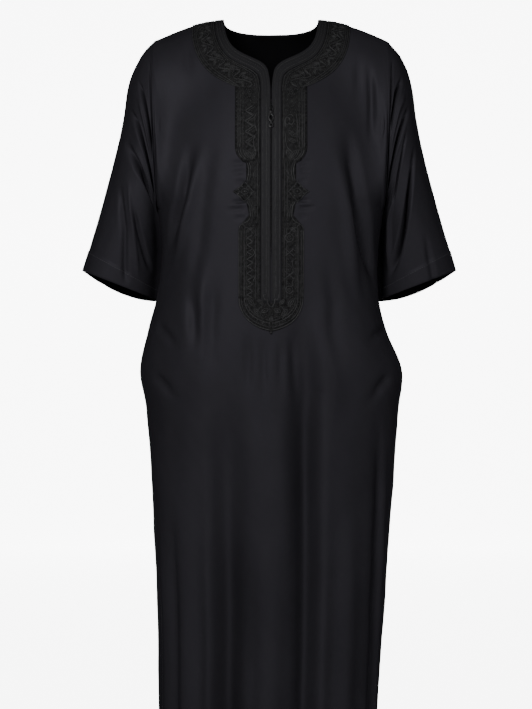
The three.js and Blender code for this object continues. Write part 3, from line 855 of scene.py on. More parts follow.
class Finish(Enum):
    """Every finish on the garment."""

    SATIN = Cloth(
        "black_satin", (0.0133, 0.0127, 0.0152), (0.0155, 0.0148, 0.0177), (0.46, 0.58), 0.24
    )
    # the satin's dull reverse for the inner walls: no gloss, and its colour painted far darker than
    # the satin as shade inside the garment
    REVERSE = Cloth(
        "satin_reverse_painted_shade", (0.0032, 0.0032, 0.0036), (0.0044, 0.0043, 0.0048), (0.8, 0.9), 0.0
    )
    LINING = Cloth("pocket_cloth", (0.006, 0.006, 0.007), (0.008, 0.008, 0.009), (0.7, 0.8), 0.05)
    EDGING = Cloth(
        "edging_satin", (0.0112, 0.0111, 0.0121), (0.0132, 0.013, 0.0141), (0.46, 0.58), 0.2,
        weave=900.0, relief=0.35,
    )
    TAPE = Cloth("zip_tape", (0.004, 0.004, 0.005), (0.006, 0.006, 0.007), (0.75, 0.9), 0.05)
    GROUND = Stitching(
        "embroidery_ground", (0.0045, 0.0045, 0.0047), (0.0125, 0.0124, 0.0128), 0.55, 0.2, 95.0,
        relief=1.0,
    )
    CORD = Stitching(
        "embroidery_cord", (0.016, 0.016, 0.0165), (0.028, 0.028, 0.0288), 0.34, 0.4, 330.0,
        relief=0.35,
    )
    SEWING = Stitching(
        "sewing_thread", (0.03, 0.03, 0.033), (0.045, 0.045, 0.049), 0.45, 0.3, 700.0, relief=0.2
    )
    METAL = Enamel("black_enamel", (0.002, 0.002, 0.0024), (0.01, 0.01, 0.011), 0.3)
    FLOOR = Paper("floor_paper", (0.9, 0.9, 0.905), 0.0)
    BACKDROP = Paper("backdrop_paper", (0.9, 0.9, 0.905), 7.1)


@cache
def material(finish: Finish) -> bpy.types.Material:
    """The material of a finish, made once."""
    return finish.value.make()


# ---- meshes ----


def around(count: int) -> Array:
    """Even turns round a circle."""
    return 2 * math.pi * np.arange(count) / count


def grid_faces(rows: int, columns: int, closed: bool = False) -> Array:
    """The quads between the points of a grid.

    Args:
        rows: Rows of points.
        columns: Points in a row.
        closed: Whether each row meets itself.

    Returns:
        The quads.
    """
    steps = columns if closed else columns - 1
    r, c = np.meshgrid(np.arange(rows - 1), np.arange(steps), indexing="ij")
    a, b = r * columns + c, r * columns + (c + 1) % columns
    return np.stack([a, b, b + columns, a + columns], axis=-1).reshape(-1, 4)


def facing(points: Array, faces: Array, normals: Array) -> Array:
    """Turns faces, where they need it, so that they look along the given normals.

    Args:
        points: The points.
        faces: The faces, all of which look one way.
        normals: A normal for each point.

    Returns:
        The faces.
    """
    corner = points[faces[:, :3]]
    look = np.cross(corner[:, 1] - corner[:, 0], corner[:, 2] - corner[:, 0])
    flip = np.sum(look * normals[faces[:, 0]]) < 0
    return faces[:, ::-1] if flip else faces


def rod(rings: Array) -> list[list[int]]:
    """The faces of a closed rod through rings of points, ends included.

    Args:
        rings: The rings.

    Returns:
        The faces.
    """
    count, spokes = rings.shape[:2]
    last = (count - 1) * spokes
    ends = [list(range(spokes))[::-1], list(range(last, last + spokes))]
    return grid_faces(count, spokes, True).tolist() + ends


def inside(spots: Array, loop: Array) -> Array:
    """Which spots lie inside a flat loop.

    Args:
        spots: The spots.
        loop: The loop.

    Returns:
        True for each spot inside.
    """
    a, b = loop, np.roll(loop, -1, axis=0)
    x, y = spots[:, None, 0], spots[:, None, 1]
    crossing = (a[:, 1] > y) != (b[:, 1] > y)
    slope = np.where(b[:, 1] == a[:, 1], 1e-9, b[:, 1] - a[:, 1])
    hit = crossing & (x < (b[:, 0] - a[:, 0]) * (y - a[:, 1]) / slope + a[:, 0])
    return hit.sum(axis=1) % 2 == 1


def fill(loops: Sequence[Array], more: Array, near: float) -> tuple[Array, Array]:
    """Fills a flat outline with triangles, but not its holes.

    Args:
        loops: The outline, then its holes.
        more: Further spots to use.
        near: How close two spots may come before they count as one.

    Returns:
        The spots, and the triangles.
    """
    border, first = [], 0
    for loop in loops:
        border += [(first + i, first + (i + 1) % len(loop)) for i in range(len(loop))]
        first += len(loop)
    spots = [Vector(spot) for spot in np.concatenate([*loops, more])]
    result = delaunay_2d_cdt(spots, border, [], 0, near)
    spots = np.array([tuple(spot) for spot in result[0]])
    tris = np.array([face for face in result[2] if len(face) == 3])
    middles = spots[tris].mean(axis=1)
    keep = inside(middles, loops[0])
    for hole in loops[1:]:
        keep &= ~inside(middles, hole)
    return spots, tris[keep]


def plate_faces(tris: Array, count: int) -> list[list[int]]:
    """The faces of a plate: triangles on its top, the same below, and its walls.

    Args:
        tris: The upper triangles.
        count: How many points the top has, and the bottom after it.

    Returns:
        The faces.
    """
    sides = dict.fromkeys((a, b) for t in tris.tolist() for a, b in zip(t, t[1:] + t[:1]))
    walls = [[b, a, a + count, b + count] for a, b in sides if (b, a) not in sides]
    return tris.tolist() + (tris[:, ::-1] + count).tolist() + walls


class Mass:
    """Points and faces gathered from the parts of one piece."""

    def __init__(self) -> None:
        """Starts empty."""
        self.blocks: list[Array] = []
        self.faces: list[list[int]] = []
        self.count = 0

    def add(self, block: Array, faces: Sequence[Sequence[int]]) -> None:
        """Adds a part.

        Args:
            block: Its points.
            faces: Its faces, numbered from its own first point.
        """
        self.blocks.append(block.reshape(-1, 3))
        self.faces += [[i + self.count for i in face] for face in faces]
        self.count += len(self.blocks[-1])

    @property
    def points(self) -> Array:
        """All points."""
        return np.concatenate(self.blocks)


def add_piece(
    name: str,
    points: Array,
    faces: Sequence[Sequence[int]],
    finish: Finish,
    body: str = "garment",
) -> Piece:
    """Makes a piece of the garment.

    Args:
        name: Its name.
        points: Its points, in millimetres.
        faces: Its faces, as numbers of points.
        finish: Its finish.
        body: What it moves with.

    Returns:
        The object.
    """
    mesh = bpy.data.meshes.new(name)
    mesh.from_pydata((np.asarray(points) * MM).tolist(), [], [list(map(int, f)) for f in faces])
    mesh.validate()
    mesh.update()
    mesh.shade_smooth()
    piece = bpy.data.objects.new(name, mesh)
    bpy.context.scene.collection.objects.link(piece)
    mesh.materials.append(material(finish))
    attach(piece, body)
    return piece


def thicken(piece: Piece, wall: float) -> None:
    """Gives a sheet its wall, inwards, with the cloth's dull side within, its colour painted dark
    as shade inside the garment.

    Args:
        piece: The sheet.
        wall: Its thickness in millimetres.
    """
    piece.data.materials.append(material(Finish.REVERSE))
    shell = piece.modifiers.new("wall", "SOLIDIFY")
    shell.thickness = wall * MM
    shell.offset = -1
    shell.use_even_offset = False
    shell.material_offset = 1


def mirror(hand: Hand) -> Draw:
    """A way to turn the left hand's spots into a hand's own.

    Args:
        hand: The hand.

    Returns:
        What turns them.
    """

    def draw(spots: Sequence[Spot] | Array) -> Array:
        """The spots on this hand."""
        return np.array(spots, float) * (hand.value, 1)

    return draw


class Needlework:
    """Cords, stitches and knots laid on a surface, gathered into one mesh."""

    SIDES = 6
    KNOT_RINGS = 4
    FULL = 1.25  # how full the cords lie
    TAPER = 0.55  # how thin a cord's ends are
    FLAT = 0.8  # how high a knot stands for its width
    LOW = 1.3  # how high a cord's middle lies over the surface
    HIGH = 1.4  # and a knot's

    def __init__(self, lift: Lift, draw: Draw = np.array) -> None:
        """Starts with nothing laid.

        Args:
            lift: What lays spots on the surface.
            draw: What turns the spots that are given into the surface's own.
        """
        self.lift, self.draw = lift, draw
        self.cords: list[tuple[Array, float, float]] = []
        self.knots: list[tuple[float, float, float, float]] = []

    def drawn(self, draw: Draw) -> "Needlework":
        """The same work, for spots that are given another way.

        Args:
            draw: What turns those spots into the surface's own.

        Returns:
            The work, with all that is laid held in common.
        """
        other = Needlework(self.lift, draw)
        other.cords, other.knots = self.cords, self.knots
        return other

    def lay(self, path: Array, radius: float, height: float = LOW) -> None:
        """Lays a cord along a path of the surface's own spots."""
        self.cords.append((resample(path, 2.2), radius, height))

    def cord(self, path: Sequence[Spot] | Array, radius: float, height: float = LOW) -> None:
        """Lays a cord along a path."""
        self.lay(self.draw(path), radius, height)

    def curve(self, ends: Sequence[Spot], radius: float, height: float = LOW) -> None:
        """Lays a cord along a cubic curve."""
        self.lay(bezier(self.draw(ends), 14), radius, height)

    def bead(self, spot: Spot | Array, radius: float, height: float = HIGH) -> None:
        """Sews on one knot of thread."""
        self.knots.append((*self.draw([spot])[0], radius, height))

    def row(
        self, path: Sequence[Spot] | Array, step: float, radius: float, height: float = HIGH
    ) -> None:
        """Sews on knots at even steps along a path."""
        self.knots += [(*spot, radius, height) for spot in resample(self.draw(path), step)]

    def dashes(self, path: Array, long: float, gap: float, radius: float, height: float) -> None:
        """Runs a row of stitches along a path.

        Args:
            path: The path.
            long: A stitch's length.
            gap: The gap between two stitches.
            radius: The thread's radius.
            height: Its height off the surface.
        """
        parts = 8
        fine = resample(path, (long + gap) / parts)
        show = max(2, round(parts * long / (long + gap)) + 1)
        for start in range(0, len(fine) - show, parts):
            self.cords.append((fine[start : start + show], radius, height))

    def ring(self, spot: Spot | Array, radius: float, thread: float) -> None:
        """Lays a closed round of cord.

        Args:
            spot: Its middle.
            radius: Its radius.
            thread: The cord's radius.
        """
        turn = np.linspace(0, 2 * math.pi, 15)[:, None]
        middle = self.draw([spot])
        self.lay(middle + radius * np.hstack([np.cos(turn), np.sin(turn)]), thread)

    def rosette(self, spot: Spot | Array, radius: float, petals: int, bead: float) -> None:
        """Sews a round of knots about a knot, with a round of cord between.

        Args:
            spot: Its middle.
            radius: The outer knots' distance from it.
            petals: How many of them there are.
            bead: A knot's radius.
        """
        self.bead(spot, bead * 1.3)
        x, y = self.draw([spot])[0]
        for turn in around(petals) + math.pi / petals:
            place = x + radius * math.cos(turn), y + radius * math.sin(turn)
            self.knots.append((*place, bead, self.HIGH))
        self.ring(spot, radius * 0.55, 0.5)

    def leaf(self, root: Spot | Array, tip: Spot | Array, wide: float, radius: float) -> None:
        """Lays a pointed leaf of cord with a filled middle.

        Args:
            root: Where it starts.
            tip: Where it ends.
            wide: Its width.
            radius: The cord's radius.
        """
        a, b = self.draw([root, tip])
        way = b - a
        side = np.array([-way[1], way[0]]) / max(np.hypot(*way), 1e-6) * wide * 0.7
        for bow in (-side, side):
            self.lay(bezier([a, a + 0.3 * way + bow, a + 0.7 * way + bow, b], 14), radius)
        self.lay(np.array([a + 0.2 * way, a + 0.8 * way]), radius * 1.3, 1.15)

    def mesh(self) -> Mass:
        """Makes all that is laid.

        Returns:
            Its points and faces.
        """
        made = Mass()
        turn = around(self.SIDES)[:, None]
        if self.cords:
            spots = np.concatenate([path for path, _, _ in self.cords])
            heights = np.concatenate([np.full(len(path), high) for path, _, high in self.cords])
            centres, normals = self.lift(spots, heights)
            first = 0
            for path, radius, _ in self.cords:
                here = slice(first, first + len(path))
                first += len(path)
                line, out = centres[here], normals[here]
                aside = unit(np.cross(unit(np.gradient(line, axis=0)), out))
                full = np.full((len(path), 1, 1), self.FULL * radius)
                full[[0, -1]] *= self.TAPER
                spokes = aside[:, None] * np.cos(turn) + out[:, None] * np.sin(turn)
                rings = line[:, None] + full * spokes
                made.add(rings, rod(rings))
        if self.knots:
            table = np.array(self.knots)
            centres, normals = self.lift(table[:, :2], table[:, 3])
            for centre, out, radius in zip(centres, normals, table[:, 2]):
                aside = unit(np.cross(out, (0.0, 0.0, 1.0)))
                flat = aside * np.cos(turn) + np.cross(aside, out) * np.sin(turn)
                rings = np.array(
                    [
                        centre
                        + radius * (math.cos(tilt) * flat + self.FLAT * math.sin(tilt) * out)
                        for tilt in np.linspace(-0.35, 1.35, self.KNOT_RINGS)
                    ]
                )
                made.add(rings, rod(rings))
        return made

    def sew(self, name: str, finish: Finish) -> Piece:
        """Makes the piece."""
        made = self.mesh()
        return add_piece(name, made.points, made.faces, finish)


# ---- the necklines ----


@dataclass
class Neckline:
    """The front neck edge and slit, and the back neck edge, as outlines seen square on."""

    cloth: BodyCloth
    slit_half: float = 1.2
    slit_top: float = -141.0  # where its edges become straight
    slit_steps: int = 99
    slit_end: float = -506.0
    edging: float = 17.0
    apart: float = 0.6
    back_drop: float = 22.0

    def front(self, grow: float, end_z: float) -> Array:
        """Half the front edge, grown outwards.

        Args:
            grow: How far it is grown.
            end_z: How far it runs down the slit.

        Returns:
            Spots (x, way down) from the shoulder to the slit's end, always as many.
        """
        g, side = grow, self.slit_half + grow
        neck = self.cloth.neck_x + g
        start = [(neck, 12), (neck, -45 - 0.3 * g), (70 + 0.9 * g, -58 - 0.9 * g)]
        start += [(50 + 0.6 * g, -69 - g)]
        notch = [start[-1], (30 + 0.5 * g, -80 - g), (13 + g, -83 - g), (6 + g, -100 - 0.5 * g)]
        down = [notch[-1], (3 + g, -112), (side, -126), (side, self.slit_top)]
        curves = [bezier(start, 40, 0.072), bezier(notch, 30)[1:], bezier(down, 16)[1:]]
        straight = pair(side, np.linspace(self.slit_top, end_z, self.slit_steps + 1)[1:])
        return self.cloth.flat(np.concatenate([*curves, straight]))

    def back(self, half: float, drop: float) -> Array:
        """The back edge, grown outwards or not.

        Args:
            half: Half its width.
            drop: How far it falls below the shoulder.

        Returns:
            Spots (x, way down) from side to side.
        """
        top = float(self.cloth.seam_height(np.array(half))) - 0.1
        right = bezier([(-half, top), (-half, -0.7 * drop), (-0.62 * half, -drop), (0, -drop)], 40)
        left = right[::-1] * (-1, 1)
        return self.cloth.flat(np.concatenate([right, left[1:]]))

    def rim(self, side: Side, neck_columns: int, shoulder_columns: int) -> tuple[Array, Array]:
        """Half a panel's upper edge, from the middle round the neck and along the shoulder.

        Args:
            side: The panel.
            neck_columns: How many steps the neck edge has.
            shoulder_columns: How many steps the shoulder seam has.

        Returns:
            The places across and the ways down.
        """
        if side is Side.FRONT:
            edge = self.front(0, self.slit_top - 1)[: 1 - self.slit_steps][::-1]
        else:
            edge = self.back(self.cloth.neck_x, self.back_drop)
            edge = edge[len(edge) // 2 :]
        lengths = np.linalg.norm(np.diff(edge, axis=0), axis=1)
        edge = resample(edge, lengths.sum() / (neck_columns - 0.01))
        across = self.cloth.across_at(edge[:, 0], edge[:, 1])
        seam = np.linspace(across[-1], 1, shoulder_columns + 1)[1:]
        return np.r_[across, seam], np.r_[edge[:, 1], np.zeros(shoulder_columns)]


# ---- panels ----


@dataclass
class Panels:
    """The front and back of the body."""

    cloth: BodyCloth
    neck: Neckline
    wall: float = 1.4
    step: float = 4.6
    hem: float = 25.0
    hem_rise: float = 0.5
    slit_middle: float = -200.0  # the way down the cloth at which the slit's width is taken
    neck_low: float = -120.0  # and to the neck's lowest point
    neck_columns: int = 38
    shoulder_columns: int = 30

    @property
    def floor(self) -> float:
        """The way down the cloth to its lower edge."""
        return float(self.cloth.down_of(np.array(0.0)))

    def rows(self, low: float, high: float) -> int:
        """How many rows of points fit between two ways down."""
        return int(round((high - low) / self.step)) + 1

    def half(self, side: Side, hand: Hand) -> tuple[Array, Array]:
        """One half of a panel.

        Args:
            side: The panel.
            hand: The half.

        Returns:
            The places across and the places up, row by row from the hem.
        """
        cloth = self.cloth
        split = float(cloth.flat([(0, self.neck.slit_end)])[0, 1])
        top, top_down = self.neck.rim(side, self.neck_columns, self.shoulder_columns)
        even = np.linspace(0, 1, len(top))
        base = np.interp(even * cloth.side_s, cloth.round, cloth.turns)
        cleft = cloth.across_at(np.array(self.neck.slit_half), np.array(self.slit_middle))
        inner = float(cleft) if side is Side.FRONT else 0.0
        top[0] = inner
        low = np.linspace(self.floor, split, self.rows(self.floor, split))
        share = np.linspace(0, 1, self.rows(split, self.neck_low))[1:, None]
        across = mix(mix(inner, 1, base)[None], top[None], share)
        up = cloth.up_of(mix(split, top_down[None], share))
        low_across, low_up = np.broadcast_arrays(base, cloth.up_of(low)[:, None])
        return hand.value * np.concatenate([low_across, across]), np.concatenate([low_up, up])

    def build(self, side: Side) -> Piece:
        """Makes one panel from its two halves, joined below the slit.

        Args:
            side: The panel.

        Returns:
            The object.
        """
        made = Mass()
        for hand in Hand:
            across, up = self.half(side, hand)
            out = self.cloth.normal(side, across, up, True)
            above = self.floor + self.hem - self.cloth.down_of(up)
            band = self.hem_rise * smooth(above, -0.8, 0.8)[..., None]
            points = (self.cloth.point(side, across, up) + out * band).reshape(-1, 3)
            made.add(points, facing(points, grid_faces(*across.shape), out.reshape(-1, 3)))
        points, number = self.weld(made.points)
        name = f"{side.name.lower()}_cloth"
        piece = add_piece(name, points, number[np.array(made.faces)], Finish.SATIN)
        thicken(piece, self.wall)
        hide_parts(side.name.lower())
        return piece

    def weld(self, points: Array) -> tuple[Array, Array]:
        """Joins points that lie on each other in the middle plane.

        Args:
            points: All points.

        Returns:
            The points that stay, and each old point's new number.
        """
        keys = np.round(points * 50).astype(int)
        _, first, back = np.unique(keys, axis=0, return_index=True, return_inverse=True)
        return points[first], back.reshape(-1)

    def stitch_hem(self) -> Piece:
        """Runs the hem's row of stitches round both panels.

        Returns:
            The object.
        """
        made = Mass()
        line = pair(np.linspace(-188, 178, 120), self.floor + self.hem)
        for side in Side:
            work = Needlework(self.cloth.lift(side))
            work.dashes(line, 3.2, 1.6, 0.32, 0.45)
            stitches = work.mesh()
            made.add(stitches.points, stitches.faces)
        return add_piece("hem_stitches", made.points, made.faces, Finish.SEWING)


@dataclass
class Sleeve:
    """One short wide sleeve with its turned-up hem."""

    cloth: SleeveCloth
    wall: float = 1.4
    spokes: int = 144
    rings: int = 110
    hem: float = 25.0
    hem_rise: float = 1.0

    def build(self) -> Piece:
        """Makes the sleeve.

        Returns:
            The object.
        """
        word, long = self.cloth.hand.word, self.cloth.long
        turned = 1 - self.hem / long
        above = turned * np.linspace(0, 1, self.rings - 10)[:-1]
        step = turned + 0.9 / long * np.array([-1.0, 0.0, 1.0])
        ring = np.r_[above, step, np.linspace(turned, 1, 9)[1:]]
        turn, along = np.meshgrid(np.arange(self.spokes) * 360 / self.spokes, ring)
        out = self.cloth.normal(turn, along, True)
        band = self.hem_rise * smooth(self.hem - (1 - along) * long, -0.9, 0.9)[..., None]
        points = (self.cloth.point(turn, along) + out * band).reshape(-1, 3)
        faces = facing(points, grid_faces(len(ring), self.spokes, True), out.reshape(-1, 3))
        piece = add_piece(f"sleeve_{word}_cloth", points, faces, Finish.SATIN)
        thicken(piece, self.wall)
        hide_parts(f"sleeve_{word}")
        return piece

    def round(self, along: float, count: int) -> Array:
        """A line round the sleeve, as spots, at a way along it."""
        return pair(np.linspace(0, 360, count) * self.cloth.degree, along)

    def stitch_hem(self) -> Piece:
        """Runs the hem's row of stitches round the sleeve.

        Returns:
            The object.
        """
        work = Needlework(self.cloth.lift)
        work.dashes(self.round(self.cloth.long - self.hem + 2, 240), 3.4, 2.8, 0.36, 1.1)
        return work.sew(f"sleeve_{self.cloth.hand.word}_stitches", Finish.SEWING)

    def stitch_armhole(self) -> Piece:
        """Runs a row of stitches beside the armhole seam.

        Returns:
            The object.
        """
        work = Needlework(self.cloth.lift)
        work.dashes(self.round(5.0, 300), 2.6, 1.4, 0.22, 0.1)
        return work.sew(f"armhole_{self.cloth.hand.word}_stitches", Finish.SATIN)


@dataclass
class Pocket:
    """A pocket bag behind the slit in a side seam."""

    cloth: BodyCloth
    hand: Hand
    wall: float = 1.2
    panel: float = 1.4  # the panels' wall
    clear: float = 1.9
    stitch_across: float = 0.93  # how far across the front its stitches run
    rim: float = 4.0
    spokes: int = 48
    # share of the way in, turn, z, half height, off the panel, thickness
    bag: Table = field(
        default_factory=lambda: Table(
            [
                (0, 73, -600, 86, 5, 42),
                (0.25, 63, -614, 92, 5, 38),
                (0.5, 51, -634, 98, 5, 30),
                (0.75, 39, -650, 92, 6, 20),
                (0.92, 32, -656, 66, 7, 13),
                (1, 29, -657, 34, 8, 7),
            ]
        )
    )

    def mouth(self, grow: float) -> Array:
        """The bag's edge just inside the slit.

        Args:
            grow: How far it is drawn in from its rim.

        Returns:
            Its points.
        """
        turn = around(self.spokes)
        top, bottom, open_half = self.cloth.pocket
        z = (top + bottom) / 2 + ((top - bottom) / 2 + self.rim - grow) * np.cos(turn)
        aside = -(open_half + self.rim - grow) * np.sin(turn)
        mid, half, front, back, square = self.cloth.sections.at(z)
        depth = np.where(aside < 0, front, back)
        share = (1 - (np.abs(aside) / depth) ** square) ** (1 / square)
        x = mid + self.hand.value * (half * share - self.clear - self.panel)
        return np.stack([x, self.cloth.seam_y + aside, z], -1)

    def ring(self, share: float) -> Array:
        """A ring of the bag, flat against the inside of the front.

        Args:
            share: Its share of the way in.

        Returns:
            Its points.
        """
        turn_deg, z_mid, high, off, thick = self.bag.at(np.array(share))
        turn = around(self.spokes)
        z = z_mid + high * np.cos(turn)
        uneven = 1 + 0.12 * np.sin(3 * turn + 5 * share) + 0.06 * np.sin(7 * turn + 9 * share)
        swell = thick / 2 * bent(np.sin(turn), 0.8) * uneven
        angle = np.full_like(z, self.hand.value * math.radians(float(turn_deg)))
        here = self.skirt(angle, z)
        square = self.cloth.sections.at(z)[4]
        across = angle / (QUARTER - self.cloth.pocket_turn(z, square))
        up = (z - self.cloth.hem_z) / (self.cloth.underarm_z - self.cloth.hem_z)
        fold = np.minimum(0, self.cloth.push(Side.FRONT, across, up))
        step = self.skirt(angle + 1e-3, z) - self.skirt(angle - 1e-3, z)
        rise = self.skirt(angle, z + 0.5) - self.skirt(angle, z - 0.5)
        normal = unit(np.cross(step, rise))
        out = np.sum(normal * (self.hand.value, -1, 0), axis=-1, keepdims=True)
        normal = normal * np.where(out < 0, -1, 1)
        return here + normal * (fold + swell - off - thick / 2)[:, None]

    def skirt(self, turn: Array, z: Array) -> Array:
        """The front's plain section.

        Args:
            turn: Turns from the middle of the front.
            z: Heights.

        Returns:
            The points.
        """
        mid, half, front, _, square = self.cloth.sections.at(z)
        x = mid + half * bent(np.sin(turn), 2 / square)
        return np.stack([x, self.cloth.seam_y - front * bent(np.cos(turn), 2 / square), z], -1)

    def build(self) -> Piece:
        """Makes the bag, open at its mouth.

        Returns:
            The object.
        """
        mouth, first = self.mouth(0), self.ring(0)
        rings = [mix(mouth, first, t) for t in (0, 0.33, 0.66)]
        block = np.array(rings + [self.ring(share) for share in np.linspace(0, 1, 22)])
        points = block.reshape(-1, 3)
        out = (block - block.mean(axis=1)[:, None]).reshape(-1, 3)
        faces = facing(points, grid_faces(len(block), self.spokes, True), out)
        end = list(range(len(points) - self.spokes, len(points)))
        outward = faces[0][0] == 0 and faces[0][1] == 1
        faces = [*faces.tolist(), end if outward else end[::-1]]
        piece = add_piece(f"pocket_{self.hand.word}_bag", points, faces, Finish.LINING)
        thicken(piece, self.wall)
        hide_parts(f"pocket_{self.hand.word}")
        return piece

    def stitches(self) -> Piece:
        """Runs a row of stitches beside the pocket's mouth, on the front.

        Returns:
            The object.
        """
        work = Needlework(self.cloth.lift(Side.FRONT))
        top, bottom, _ = self.cloth.pocket
        down = self.cloth.down_at(np.zeros(60), np.linspace(top + 4, bottom - 4, 60))
        up = self.cloth.up_of(down)
        x = self.cloth.base(Side.FRONT, self.hand.value * self.stitch_across, up)[:, 0]
        work.dashes(pair(x, down), 2.8, 1.5, 0.26, 0.15)
        return work.sew(f"pocket_{self.hand.word}_stitches", Finish.SEWING)


# ---- the neck's edging and the embroidery ----


@dataclass
class Edging:
    """The plain satin band round the neck and down the slit."""

    cloth: BodyCloth
    neck: Neckline
    below: float = 10.0
    back_half: float = 103.0  # half the width of the back strip's outer edge
    back_drop: float = 34.0  # and its fall below the shoulder
    # how far out from the neck edge, and how high off the panel
    section: tuple[Spot, ...] = (
        (-0.5, -1.2), (-0.5, 0.4), (0.3, 1.2), (1.6, 1.5), (3.4, 1.35), (4.2, 1.15), (5, 1.35),
        (8.6, 1.5), (12.6, 1.35), (13.3, 1.15), (14, 1.35), (16, 1.4), (16.8, 1), (17, 0.35),
        (12.0, 0.15), (6.0, 0.15), (0.8, 0.15), (0.2, -1.2),
    )

    def strip(self, name: str, side: Side, edges: Callable[[float], Array]) -> Piece:
        """Makes one strip.

        Args:
            name: Its name.
            side: The panel.
            edges: Gives the edge's spots, grown outwards by a distance.

        Returns:
            The object.
        """
        lift = self.cloth.lift(side)
        rings = np.stack([lift(edges(out), high)[0] for out, high in self.section], axis=1)
        points, faces = rings.reshape(-1, 3), rod(rings)
        out = (rings - rings.mean(axis=1)[:, None]).reshape(-1, 3)
        quads = np.array(faces[:-2])
        if not np.array_equal(facing(points, quads, out), quads):
            faces = [face[::-1] for face in faces]
        return add_piece(name, points, faces, Finish.EDGING)

    def front(self, hand: Hand) -> Piece:
        """Makes the strip on one side of the slit.

        Args:
            hand: The side.

        Returns:
            The object.
        """
        end = self.neck.slit_end - self.below

        def edges(grow: float) -> Array:
            """The neck edge on this hand."""
            return mirror(hand)(self.neck.front(grow, end))

        piece = self.strip(f"edging_{hand.word}_band", Side.FRONT, edges)
        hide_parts(f"edging_{hand.word}")
        return piece

    def back(self) -> Piece:
        """Makes the strip round the back of the neck.

        Returns:
            The object.
        """

        inner = np.array([self.cloth.neck_x, self.neck.back_drop])
        outer = np.array([self.back_half, self.back_drop])

        def edges(grow: float) -> Array:
            """The back neck edge."""
            sizes = mix(inner, outer, grow / self.neck.edging)
            return self.neck.back(*sizes)

        piece = self.strip("edging_back_band", Side.BACK, edges)
        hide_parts("edging_back")
        return piece

    def cords(self) -> Piece:
        """Lays the fine cords along both strips, and the row of knots beside the slit.

        Returns:
            The object.
        """
        work = Needlework(self.cloth.lift(Side.FRONT))
        end = self.neck.slit_end - 3
        for hand in Hand:
            here = work.drawn(mirror(hand))
            for grow in (4.2, 13.3):
                here.cord(self.neck.front(grow, end), 0.5)
            here.cord(self.cloth.flat([(8.2, -150), (8.2, -502)]), 0.5)
            work.dashes(mirror(hand)(self.neck.front(8.6, end + 4)), 3.0, 1.3, 0.22, 1.55)
        work.row(self.cloth.flat([(10.8, -262), (10.8, -392)]), 5.4, 1.0, 1.7)
        work.row(self.cloth.flat([(-10.8, -470), (-10.8, -503)]), 4.6, 0.8, 1.7)
        return work.sew("edging_cords", Finish.CORD)


@dataclass
class Band:
    """A band of cloth between two lines, with spots given along and across it."""

    inner: Array
    outer: Array

    def at(self, along: Array | float, across: Array | float) -> Array:
        """Spots on the band.

        Args:
            along: Their shares of the way along it.
            across: Their shares of the way from the inner line to the outer one.

        Returns:
            The spots (x, way down).
        """
        lines = []
        for line in (self.inner, self.outer):
            place = np.asarray(along) * (len(line) - 1)
            lines.append(np.stack([np.interp(place, np.arange(len(line)), c) for c in line.T], -1))
        return mix(*lines, np.asarray(across, float)[..., None])


def zigzag(x: float, swing: float, top: float, step: float, count: int) -> Array:
    """Spots that go down a line from side to side.

    Args:
        x: The line.
        swing: How far from it they lie.
        top: The height of the first spot.
        step: The distance down to the next one.
        count: How many there are.

    Returns:
        The spots.
    """
    i = np.arange(count)
    return pair(x + swing * (2 * (i % 2) - 1), top - step * i)


